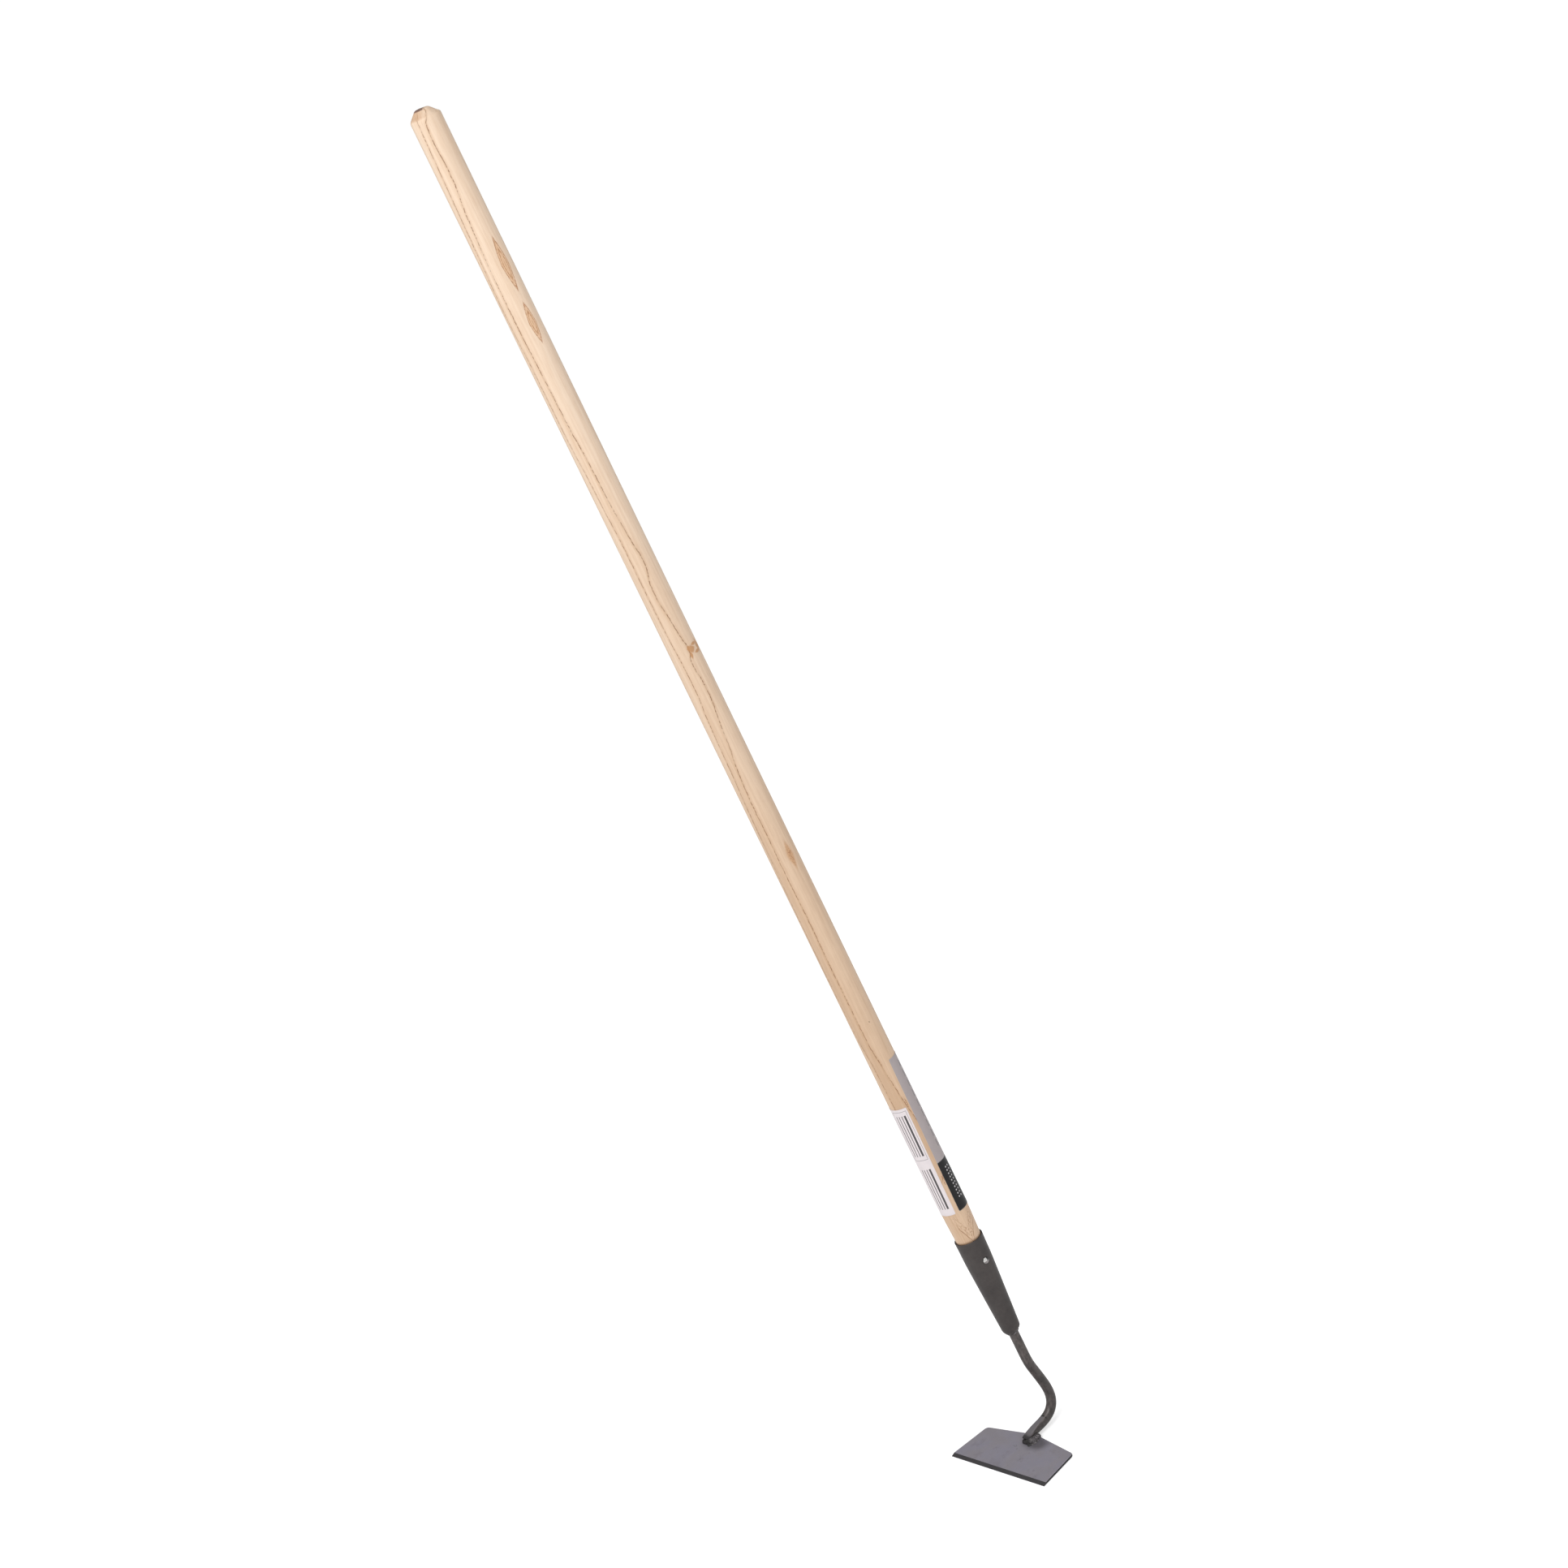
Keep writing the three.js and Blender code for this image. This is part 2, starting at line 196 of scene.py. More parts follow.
class Signal:
    """A node output that works in plain arithmetic; a | b is the larger of the two."""

    def __init__(self, shader, socket):
        self.shader = shader
        self.socket = socket

    def math(self, operation, *others, clamp=False):
        node = self.shader.node("ShaderNodeMath", operation=operation, use_clamp=clamp)
        for socket, value in zip(node.inputs, (self, *others)):
            self.shader.put(socket, value)
        return Signal(self.shader, node.outputs[0])

    def __add__(self, other):
        return self.math("ADD", other)

    def __sub__(self, other):
        return self.math("SUBTRACT", other)

    def __mul__(self, other):
        return self.math("MULTIPLY", other)

    def __truediv__(self, other):
        return self.math("DIVIDE", other)

    def __or__(self, other):
        return self.math("MAXIMUM", other)

    def __abs__(self):
        return self.math("ABSOLUTE")

    def times_plus(self, factor, addend, clamp=False):
        return self.math("MULTIPLY_ADD", factor, addend, clamp=clamp)

    def ramp(self, start, end, to=(0.0, 1.0)):
        """Smooth step from to[0] at start to to[1] at end; start may be the larger."""
        node = self.shader.node("ShaderNodeMapRange", interpolation_type="SMOOTHSTEP", clamp=True)
        for socket, value in zip(node.inputs, (self, start, end, *to)):
            self.shader.put(socket, value)
        return Signal(self.shader, node.outputs[0])

    def ramp_down(self, start, end):
        return self.ramp(start, end, to=(1.0, 0.0))


class Shader:
    """A Principled material. Colours are sRGB triples of 0-255, or linear RGBA."""

    def __init__(self, name):
        self.material = bpy.data.materials.new(name)
        self.material.use_nodes = True
        self.tree = self.material.node_tree
        self.tree.nodes.clear()
        output = self.node("ShaderNodeOutputMaterial")
        self.principled = self.node("ShaderNodeBsdfPrincipled")
        self.tree.links.new(self.principled.outputs[0], output.inputs[0])
        self.color = None

    def node(self, kind, **settings):
        node = self.tree.nodes.new(kind)
        for key, value in settings.items():
            setattr(node, key, value)
        return node

    def put(self, socket, value):
        if isinstance(value, Signal):
            self.tree.links.new(value.socket, socket)
        else:
            socket.default_value = value

    def vector(self, x, y, z):
        node = self.node("ShaderNodeCombineXYZ")
        for socket, value in zip(node.inputs, (x, y, z)):
            self.put(socket, value)
        return Signal(self, node.outputs[0])

    def split(self, vector):
        node = self.node("ShaderNodeSeparateXYZ")
        self.put(node.inputs[0], vector)
        return [Signal(self, socket) for socket in node.outputs]

    def object_mm(self):
        """Object coordinates in mm."""
        coordinates = self.node("ShaderNodeTexCoord")
        node = self.node("ShaderNodeVectorMath", operation="SCALE")
        self.tree.links.new(coordinates.outputs["Object"], node.inputs[0])
        node.inputs["Scale"].default_value = 1000.0
        return Signal(self, node.outputs[0])

    def normal_z(self):
        geometry = self.node("ShaderNodeNewGeometry")
        return self.split(Signal(self, geometry.outputs["Normal"]))[2]

    def pointiness(self):
        return Signal(self, self.node("ShaderNodeNewGeometry").outputs["Pointiness"])

    def noise(self, vector, scale=1.0, detail=3.0, rough=0.5, distortion=0.0):
        node = self.node("ShaderNodeTexNoise")
        for key, value in (("Vector", vector), ("Scale", scale), ("Detail", detail),
                           ("Roughness", rough), ("Distortion", distortion)):
            self.put(node.inputs[key], value)
        return Signal(self, node.outputs[0])

    def curve(self, x, points, start, end):
        """y(x) through the (x, y) points, for x from start to end."""
        ys = [point[1] for point in points]
        low, high = min(ys) - 1.0, max(ys) + 1.0
        node = self.node("ShaderNodeFloatCurve")
        curve = node.mapping.curves[0]
        unit = [((px - start) / (end - start), (py - low) / (high - low))
                for px, py in sorted(points)]
        curve.points[0].location = unit[0]
        curve.points[1].location = unit[-1]
        for point in unit[1:-1]:
            curve.points.new(*point)
        node.mapping.update()
        self.put(node.inputs["Value"], (x - start).math("DIVIDE", end - start, clamp=True))
        return Signal(self, node.outputs[0]) * (high - low) + low

    def mix(self, amount, under, over):
        node = self.node("ShaderNodeMix", data_type="RGBA", clamp_factor=True)
        self.put(node.inputs[0], amount)
        for index, color in ((6, under), (7, over)):
            if isinstance(color, tuple) and len(color) == 3:
                color = srgb(*color)
            self.put(node.inputs[index], color)
        return Signal(self, node.outputs[2])

    def paint(self, mask, over, opacity=None):
        """Lay a colour over the material's colour so far, where the mask is."""
        amount = mask if opacity is None else mask * opacity
        self.color = self.mix(amount, self.color, over)

    def bump(self, height, strength, distance, normal=None):
        """distance is in mm."""
        node = self.node("ShaderNodeBump")
        node.inputs["Strength"].default_value = strength
        node.inputs["Distance"].default_value = distance * MM
        self.put(node.inputs["Height"], height)
        if normal is not None:
            self.put(node.inputs["Normal"], normal)
        return Signal(self, node.outputs[0])

    def finish(self, rough, metal=0.0, normal=None, **others):
        inputs = self.principled.inputs
        self.put(inputs["Base Color"], self.color)
        self.put(inputs["Roughness"], rough)
        self.put(inputs["Metallic"], metal)
        if normal is not None:
            self.put(inputs["Normal"], normal)
        for key, value in others.items():
            self.put(inputs[key.replace("_", " ")], value)
        return self.material


def largest(masks):
    return functools.reduce(operator.or_, masks)


def hypotenuse(a, b):
    return (a * a + b * b).math("SQRT")


def distance(x, y, centre_x, centre_y):
    return ((x - centre_x) * (x - centre_x) + (y - centre_y) * (y - centre_y)).math("SQRT")


def seen_side(x, y, radius):
    """Sideways offset and arc length, both from the middle of the side facing the camera."""
    sideways = x * -math.sin(VIEW_AZ) + y * math.cos(VIEW_AZ)
    outward = x * math.cos(VIEW_AZ) + y * math.sin(VIEW_AZ)
    return sideways, sideways.math("ARCTAN2", outward) * radius


# ------------------------------------------------------------------ ash wood
# Growth-ring lines on the turned surface: (height above the mouth, sideways offset)
LINE_A = [
    (1250, -7.9), (1245, -8.2), (1211, -9.2), (1179, -10.1), (1131, -11.3), (1095, -12.2),
    (1042, -13.1), (1004, -12.4), (951, -12.2), (915, -11.6), (880, -10.4), (844, -9.7),
    (808, -8.6), (755, -8.6), (709, -8.1), (682, -6.9), (655, -6.6), (629, -8.1), (593, -9.4),
    (561, -10.2), (530, -11.3), (470, -12.6), (400, -13.4), (330, -13.6), (251, -12.9),
    (215, -10.9), (173, -10.2), (120, -9.6), (60, -9.0), (0, -8.6)]
LINE_B = [
    (1250, 4.6), (1246, 1.6), (1243, 0.0), (1238, -2.0), (1220, -3.0), (1197, -2.0),
    (1176, -2.6), (1160, -4.5), (1131, -6.0), (1077, -7.6), (1033, -7.6), (1004, -6.9),
    (969, -6.2), (933, -5.4), (907, -3.8), (880, -2.9), (853, -2.2), (826, -0.4), (803, 1.5),
    (790, 2.7), (774, 0.3), (755, -1.5), (736, 0.2), (718, 1.9), (702, 3.6), (694, 4.8),
    (686, 3.2), (675, 1.9), (661, 3.5), (643, 3.7), (625, 2.2), (602, 0.2), (588, -0.6),
    (575, -2.5), (561, -3.8), (539, -5.0), (521, -5.6), (490, -5.4), (449, -5.9), (395, -5.3),
    (342, -5.9), (306, -5.9), (251, -5.6), (224, -3.6), (198, -1.1), (180, 0.8), (165, 2.7),
    (150, 4.9), (120, 7.0), (80, 4.0), (37, -7.4), (26, -4.9), (15.5, -1.8), (3, 2.6), (0, 3.2)]
# Wandering lines round the rest: (seed, mean arc, swing, width, which wander, strength)
HIDDEN_LINES = [
    (3.0, -19.5, 2.4, 0.60, 0, 0.55),
    (4.0, -26.0, 2.6, 0.70, 1, 0.75),
    (5.0, -36.0, 3.0, 0.70, 0, 0.7),
    (6.0, 27.0, 3.2, 0.75, 1, 0.75),
    (7.0, 37.5, 2.8, 0.65, 0, 0.65)]
# Lowest ring line above the socket: (arc length, height above the mouth)
BOWL_LINE = [(-9.0, 52.0), (-6.4, 33.0), (-5.6, 21.0), (-1.8, 12.0), (2.6, 2.2), (4.6, -1.0),
             (7.3, 6.6), (14.0, 19.0), (18.0, 27.0)]


def to_arc(sideways):
    return HANDLE_R * math.asin(sideways / HANDLE_R)


# Cathedral ovals: (arc, height, half width, half height), strength
OVALS = [
    ((to_arc(7.4), 1096, 4.4, 29), 1.0), ((to_arc(6.75), 1037, 4.1, 22), 1.0),
    ((-31.0, 905, 3.6, 30), 0.9), ((32.5, 620, 3.4, 34), 0.9), ((44.0, 980, 3.6, 24), 0.8),
    ((-42.5, 380, 3.8, 36), 0.9), ((33.0, 250, 3.2, 22), 0.8)]
# Small knot and its arms: (sideways offset, height, half width, half height)
KNOT = [(7.4, 691.3, 4.6, 4.4), (11.2, 695.0, 4.4, 1.9), (11.9, 686.5, 4.6, 2.0),
        (5.4, 693.0, 2.6, 3.6), (5.0, 686.0, 1.7, 4.4), (13.6, 691.0, 2.6, 8.0)]

WOOD_LOW = (224, 193, 163)
WOOD_LOW_WARM = (207, 173, 141)
WOOD_HIGH = (247, 222, 197)
WOOD_HIGH_WARM = (233, 202, 172)


def drifting_line(seed, centre, swing):
    return [(z, centre + swing * fbm(seed, z / 260.0, 0.3, 2) * 2.2) for z in range(0, 1251, 50)]


class Grain:
    """Marks on the handle's surface, placed by arc length and height above the mouth."""

    def __init__(self, shader):
        self.shader = shader
        self.point = shader.object_mm()
        x, y, z = shader.split(self.point)
        self.x = x - AX
        self.y = y
        self.z = z - RIM
        self.sideways, self.arc = seen_side(self.x, self.y, HANDLE_R)
        self.dots = self.streaks(across=1.5, along=0.55, shift=41.0, detail=3.0, rough=0.65)
        # each wander is a slow and a quick sideways swing, in mm
        self.wanders = (
            self.swing(0.0, 0.0, frequency=0.13, detail=3.0, width=1.9)
            + self.swing(9.0, 4.0, frequency=0.55, detail=2.0, width=0.9),
            self.swing(5.0, 2.0, frequency=0.12, detail=3.0, width=1.5)
            + self.swing(2.0, 8.0, frequency=0.5, detail=2.0, width=0.7))

    def streaks(self, across, along, shift, detail, rough):
        """Noise with its own frequency across and along the grain."""
        vector = self.shader.vector(self.x * across + shift, self.y * across, self.z * along)
        return self.shader.noise(vector, detail=detail, rough=rough)

    def swing(self, x, y, frequency, detail, width):
        vector = self.shader.vector(x, y, self.z * frequency)
        return (self.shader.noise(vector, detail=detail, rough=0.6) - 0.5) * width

    def line(self, points, width, wander, strength, seed, lowest=None):
        """Dark core, soft halo and signed distance of a line through (height, arc) points."""
        shader, z = self.shader, self.z
        offset = (self.arc - shader.curve(z, points, 0.0, 1250.0)) + self.wanders[wander]
        away = abs(offset)
        fade = (shader.noise(shader.vector(seed, 0.0, z * 0.016), detail=2.0)
                .ramp(0.30, 0.52, to=(0.55, 1.0)) | z.ramp(1140.0, 1200.0, to=(0.0, 0.9)))
        dashes_along = shader.noise(shader.vector(seed * 3.1, 1.7, z * 0.34),
                                    detail=2.0, rough=0.6).ramp(0.38, 0.56, to=(0.22, 1.0))
        broken = self.dots.ramp(0.36, 0.60, to=(0.5, 1.0)) * dashes_along
        core = away.ramp_down(width * 0.2, width)
        halo = away.ramp_down(0.2, width * 4.6)
        core = core * broken * fade
        if lowest is not None:
            cut = z.ramp(lowest, lowest + 8.0)
            core, halo = core * cut, halo * cut
        return core * strength, halo * fade * (strength * 0.27), offset

    def oval(self, arc, height, half_width, half_height, warp=0.34, lean=0.0):
        """0 at the oval's middle, 1 on its outline; the ends are pointed."""
        across = ((self.arc - arc) + self.wanders[0] * 0.35
                  + (self.z - height) * lean) / half_width
        along = (self.z - height) / half_height
        level = hypotenuse(across, along) + abs(across * along) * 0.55
        return level + (self.dots - 0.5) * warp

    def cathedral(self, shape, strength):
        """Fill and ring lines of an oval where a growth ring grazes the surface."""
        level = self.oval(*shape)
        fill = level.ramp_down(0.60, 1.12) * strength
        outer = abs(level - 0.88).ramp_down(0.02, 0.15) * strength
        inner = abs(level - 0.50).ramp_down(0.01, 0.13) * strength
        middle = level.ramp_down(0.02, 0.20) * (strength * 0.6)
        return fill, outer | inner | middle

    def bowl(self):
        """Nested ring lines just above the socket, and the freckles among them."""
        z, arc, dots = self.z, self.arc, self.dots
        above = (z - self.shader.curve(arc, BOWL_LINE, -9.0, 18.0)) + self.wanders[0] * 1.2
        inside = z.ramp(46.0, 30.0) * (arc.ramp(-8.5, -6.5) * arc.ramp(17.5, 14.0))
        lines = abs(above).ramp_down(0.2, 1.5)
        for height, strength in ((7.5, 0.45), (15.0, 0.35)):
            lines = lines | abs(above - height).ramp_down(0.2, 1.3) * strength
        lines = lines * inside * dots.ramp(0.34, 0.54, to=(0.35, 1.0))
        freckles = (dots.ramp(0.54, 0.66) * inside
                    * (above.ramp(-0.5, 2.0) * above.ramp(24.0, 12.0)))
        return lines, freckles


def paint_grip_end(shader, grain):
    """Browner end grain on the dressed end, with one dark patch along the top edge on one side.
    """
    dots, sideways, z = grain.dots, grain.sideways, grain.z
    from_pith = distance(grain.x, grain.y, -22.0, 31.0)
    rings = ((from_pith + dots * 0.8) * 2.3).math("SINE").ramp(0.35, 0.95)
    end_color = shader.mix(rings * 0.45, (206, 166, 130), (170, 124, 86))
    end_face = shader.normal_z().ramp(0.30, 0.80) * z.ramp(TOP - 10.0, TOP - 8.0)
    shader.paint(end_face * sideways.ramp(3.0, -7.0, to=(0.10, 0.80)), end_color)
    patch_noise = shader.noise(grain.point, scale=0.30, detail=3.0, rough=0.6)
    ragged = (dots - 0.5) * 2.0 + (patch_noise - 0.5) * 13.0
    # a dark patch painted along the top edge, on one side
    dark_patch = (sideways + ragged).ramp(3.2, -0.6) * z.ramp(TOP - 1.5, TOP - 0.7)
    shader.paint(dark_patch, (104, 70, 62), opacity=0.86)


def wood_material():
    shader = Shader("ash_wood")
    grain = Grain(shader)
    z, dots = grain.z, grain.dots
    fibre = grain.streaks(across=1.7, along=0.022, shift=3.0, detail=4.0, rough=0.6)
    streak = grain.streaks(across=0.42, along=0.006, shift=9.0, detail=3.0, rough=0.5)
    patch = grain.streaks(across=0.07, along=0.0045, shift=17.0, detail=2.0, rough=0.5)
    mottle = grain.streaks(across=0.30, along=0.055, shift=23.0, detail=3.0, rough=0.55)
    pores = grain.streaks(across=3.4, along=0.16, shift=29.0, detail=2.0, rough=0.6)

    lines = [
        grain.line([(height, to_arc(side)) for height, side in LINE_A], width=0.58,
                   wander=1, strength=0.95, seed=1.0, lowest=38.0),
        grain.line([(height, to_arc(side)) for height, side in LINE_B], width=0.64,
                   wander=0, strength=1.0, seed=2.0, lowest=36.0)]
    offset_a, offset_b = lines[0][2], lines[1][2]
    for seed, centre, swing, width, wander, strength in HIDDEN_LINES:
        lines.append(grain.line(drifting_line(seed, centre, swing),
                                width, wander, strength, seed))
    core = largest(line[0] for line in lines)
    halo = largest(line[1] for line in lines)

    ovals = [grain.cathedral(shape, strength) for shape, strength in OVALS]
    fill = largest(oval[0] for oval in ovals)
    rings = largest(oval[1] for oval in ovals)
    knot = largest(grain.oval(to_arc(side), *rest, warp=0.42).ramp_down(0.55, 1.20)
                   for side, *rest in KNOT)
    bowl, freckles = grain.bowl()
    rust = grain.oval(to_arc(7.0), 461.0, 4.6, 19.0, warp=1.0).ramp_down(0.40, 1.10)
    rust_dots = rust * dots.ramp(0.50, 0.60)
    # two more patches of freckles, between the labels
    for height in (171.0, 76.0):
        spot = grain.oval(to_arc(3.0), height, 1.8, 9.0, warp=0.5).ramp_down(0.5, 1.1)
        freckles = freckles | dots.ramp(0.46, 0.58) * spot
    speck = grain.oval(to_arc(5.0), 267.0, 0.7, 1.3, warp=0.1).ramp_down(0.5, 1.1)

    # ground colour: paler up the handle, warmer in streaks and between lines A and B
    up = z.ramp(150.0, 1120.0)
    base = shader.mix(up, WOOD_LOW, WOOD_HIGH)
    warm = shader.mix(up, WOOD_LOW_WARM, WOOD_HIGH_WARM)
    between = offset_a.ramp(-0.6, 1.4) * offset_b.ramp(0.6, -1.4)
    tone = (streak - 0.5).times_plus(1.9, (patch - 0.5).times_plus(1.5, 0.30))
    tone = tone + between * z.ramp(820.0, 560.0, to=(0.12, 0.46))
    tone = tone + (fibre - 0.5) * 1.1
    tone = tone + (mottle - 0.5) * 0.9
    shader.color = shader.mix(tone.math("ADD", 0.0, clamp=True), base, warm)

    pore_mask = pores.ramp(0.60, 0.74) * streak.ramp(0.40, 0.62, to=(0.25, 1.0))
    shader.paint(pore_mask, (172, 134, 100), opacity=0.32)
    shader.paint(halo, (196, 152, 108))
    shader.paint(core, (122, 70, 26), opacity=0.97)
    shader.paint(fill, (218, 160, 98), opacity=0.46)
    shader.paint(rings * dots.ramp(0.34, 0.60, to=(0.30, 1.0)), (172, 104, 42), opacity=0.85)
    shader.paint(knot, (198, 142, 90), opacity=0.85)
    shader.paint(bowl, (146, 98, 60), opacity=0.92)
    shader.paint(freckles, (158, 110, 72), opacity=0.80)
    shader.paint(rust, (206, 152, 100), opacity=0.62)
    shader.paint(rust_dots, (158, 100, 54), opacity=0.75)
    shader.paint(speck, (120, 84, 60), opacity=0.7)
    paint_grip_end(shader, grain)
    # painted shade: a little darkening on the wood where it meets the socket
    shader.paint(z.ramp(2.6, 0.2), (120, 84, 54), opacity=0.55)

    relief = fibre * 0.6 - (core * 0.8 + pore_mask * 0.5)
    return shader.finish(
        rough=fibre.times_plus(0.16, core.times_plus(0.12, 0.42)),
        normal=shader.bump(relief, strength=0.35, distance=0.10),
        Coat_Weight=0.08, Coat_Roughness=0.34)


# ------------------------------------------------------------------ steels
def steel(name, base, light, dark, rough, scale=1.0, wear=0.5, metal=0.25, contrast=1.2):
    """Clouded steel with worn edges: its shader, and the surface arguments for finish."""
    shader = Shader(name)
    point = shader.object_mm()
    big = shader.noise(point, scale=0.045 * scale, detail=3.0, rough=0.55)
    middle = shader.noise(point, scale=0.22 * scale, detail=4.0, rough=0.6)
    fine = shader.noise(point, scale=1.9 * scale, detail=3.0, rough=0.6)
    speck = shader.noise(point, scale=3.6, detail=2.0, rough=0.5)
    clouds = (big - 0.5).times_plus(contrast, 0.5).math(
        "ADD", (middle - 0.5) * (contrast * 0.8), clamp=True)
    shader.color = shader.mix(clouds, dark, light)
    shader.paint(0.40, base)
    shader.paint(speck.ramp(0.66, 0.74), dark, opacity=0.35)
    edges = shader.pointiness().ramp(0.515, 0.56) * middle.ramp(0.35, 0.62, to=(0.2, 1.0))
    bright = tuple(channel * 2.2 for channel in srgb(*light)[:3]) + (1.0,)
    shader.paint(edges, bright, opacity=wear)
    surface = {
        "rough": (middle - 0.5).times_plus(0.22, rough).math(
            "ADD", (fine - 0.5) * 0.12, clamp=True),
        "metal": metal,
        "normal": shader.bump(middle * 0.8 + fine * 0.35, strength=0.22, distance=0.16)}
    return shader, surface


def dark_steel():
    shader, surface = steel("dark_steel", base=(73, 68, 67), light=(87, 81, 79),
                            dark=(53, 50, 50), rough=0.46)
    return shader.finish(**surface, Specular_IOR_Level=0.28)


def bar_steel():
    shader, surface = steel("forged_bar", base=(70, 65, 63), light=(108, 99, 97),
                            dark=(42, 39, 38), rough=0.38, scale=1.8, wear=0.7, contrast=2.2)
    x, y, z = shader.split(shader.object_mm())
    # mill scale in long patches along the bar
    patches = shader.noise(shader.vector(x * 0.20, y * 0.42, z * 0.06),
                           scale=1.0, detail=3.0, rough=0.6, distortion=0.4)
    shader.paint(patches.ramp(0.50, 0.66), (112, 102, 101), opacity=0.42)
    shader.paint(patches.ramp(0.46, 0.34), (50, 46, 44), opacity=0.45)
    x = x - AX
    z = z - RIM
    # painted highlight: the hammered flat on top of the toe is painted lighter where it faces up;
    # painted shade darkens the crease at its start
    toe = x.ramp(12.6, 13.8) * z.ramp(-235.0, -225.0, to=(1.0, 1.0))
    facing_up = shader.normal_z()
    flat = facing_up.ramp(0.90, 0.975) * x.ramp(13.2, 14.6) * toe
    shader.paint(flat, (124, 120, 125), opacity=0.80)
    # painted shade in the crease where the flat starts
    crease_shade = abs(x - 12.9).ramp_down(0.25, 1.0) * (facing_up.ramp(0.25, 0.6)
                                                * z.ramp(-224.0, -221.5))
    shader.paint(crease_shade, (24, 23, 23), opacity=0.85)
    # painted highlight: a light streak along the +Y arris of the flat, with painted shade beyond
    # it
    streak = (abs(y - (patches - 0.5).times_plus(1.6, 3.3)).ramp_down(0.25, 1.05)
              * (x.ramp(2.0, 8.0) * x.ramp(40.0, 34.0)) * facing_up.ramp(-0.2, 0.3))
    shader.paint(streak, (132, 125, 124), opacity=0.55)
    # painted shade: darker on the +Y side, from the lower bend down
    shader.paint(y.ramp(4.1, 4.9) * z.ramp(-150.0, -200.0), (44, 41, 40), opacity=0.45)
    # soot towards the welded end
    shader.paint((x + (patches - 0.5) * 6.0).ramp(37.0, 41.5), (34, 32, 33), opacity=0.88)
    return shader.finish(**surface)


# Weld spatter on the plate: (x, y, radius)
SPATTER = [(-7.4, -8.5, 1.0), (-4.3, -3.6, 0.6), (-7.2, -11.3, 0.6), (16.5, 46.5, 0.8),
           (7.4, 14.4, 0.7), (10.0, 18.5, 0.5), (-4.0, 17.5, 0.5), (20.5, 8.0, 0.45),
           (2.0, -30.5, 0.5)]


def blade_steel():
    shader, surface = steel("blade_plate_steel", base=(150, 146, 156), light=(163, 157, 168),
                            dark=(137, 134, 142), rough=0.48, scale=0.7, wear=0.35,
                            metal=0.15, contrast=1.0)
    point = shader.object_mm()
    x, y, z = shader.split(point)
    # cool and warm clouds in the lacquer
    tint = shader.noise(point, scale=0.035, detail=2.0, rough=0.5)
    cloud = shader.noise(shader.vector(x * 1.0, y * 1.0, 4.0),
                         scale=0.06, detail=3.0, rough=0.6)
    shader.paint(tint.ramp(0.42, 0.66), (140, 138, 156), opacity=0.34)
    shader.paint(tint.ramp(0.52, 0.32), (150, 142, 143), opacity=0.28)
    shader.paint(cloud.ramp(0.55, 0.72), (126, 120, 124), opacity=0.35)
    # ground bevel and cut sides are darker, with grinding lines
    grind = shader.noise(shader.vector(x * 0.25, y * 2.6, z * 0.4),
                         scale=1.0, detail=3.0, rough=0.6)
    ground = shader.mix(grind, (46, 44, 46), (72, 70, 72))
    flat = abs(shader.normal_z()).ramp(0.945, 0.985)
    ground = shader.mix(x.ramp_down(EDGE_X - 4.9, EDGE_X - 4.4), ground, (34, 33, 35))
    shader.color = shader.mix(flat, ground, shader.color)
    # paint worn thin along a line just inside the side edges
    worn_line = (x - BACK_X).times_plus(0.1148, 70.2)
    rubbed = (abs(abs(y) - worn_line).ramp_down(0.15, 0.55)
              * (flat * x.ramp(AX + 44.0, AX + 50.0)))
    shader.paint(rubbed * cloud.ramp(0.35, 0.55, to=(0.4, 1.0)), (186, 180, 184), opacity=0.45)
    # burnt lacquer round the weld together with painted shadow cast by the weld, drawn out along
    # Y
    from_weld = hypotenuse((x - (AX + 40.0)) * 1.0, (y - 13.0) * 0.62)
    heat_and_shadow = (from_weld + (tint - 0.5) * 10.0).ramp_down(5.0, 15.0) * z.ramp(1.0, 1.6)
    shader.paint(heat_and_shadow, (70, 66, 67), opacity=0.70)
    # spatter: raised beads, each with a dark ring, on the plate's top only
    beads = []
    for bead_x, bead_y, radius in SPATTER:
        away = distance(x, y, bead_x, bead_y)
        ring = away.ramp_down(radius * 0.9, radius * 1.9) * z.ramp(1.2, 1.7)
        bead = away.ramp_down(radius * 0.25, radius * 0.9) * z.ramp(1.2, 1.7)
        shader.paint(ring, (84, 80, 84), opacity=0.45)
        shader.paint(bead, (176, 171, 177), opacity=0.85)
        beads.append(bead)
    surface["normal"] = shader.bump(largest(beads), strength=0.9, distance=0.35,
                                    normal=surface["normal"])
    return shader.finish(**surface, Specular_IOR_Level=0.35)


def weld_steel():
    shader, surface = steel("weld_metal", base=(66, 62, 63), light=(122, 117, 120),
                            dark=(30, 28, 29), rough=0.40, scale=3.2, wear=0.9, contrast=2.4)
    x, y, _ = shader.split(shader.object_mm())
    # burnt black at the bar's end, greyer on the fillet beside it
    dark_patch = ((x - AX) - y * 0.40).ramp(39.5, 43.0)
    shader.paint(dark_patch, (24, 22, 23), opacity=0.88)
    return shader.finish(**surface)


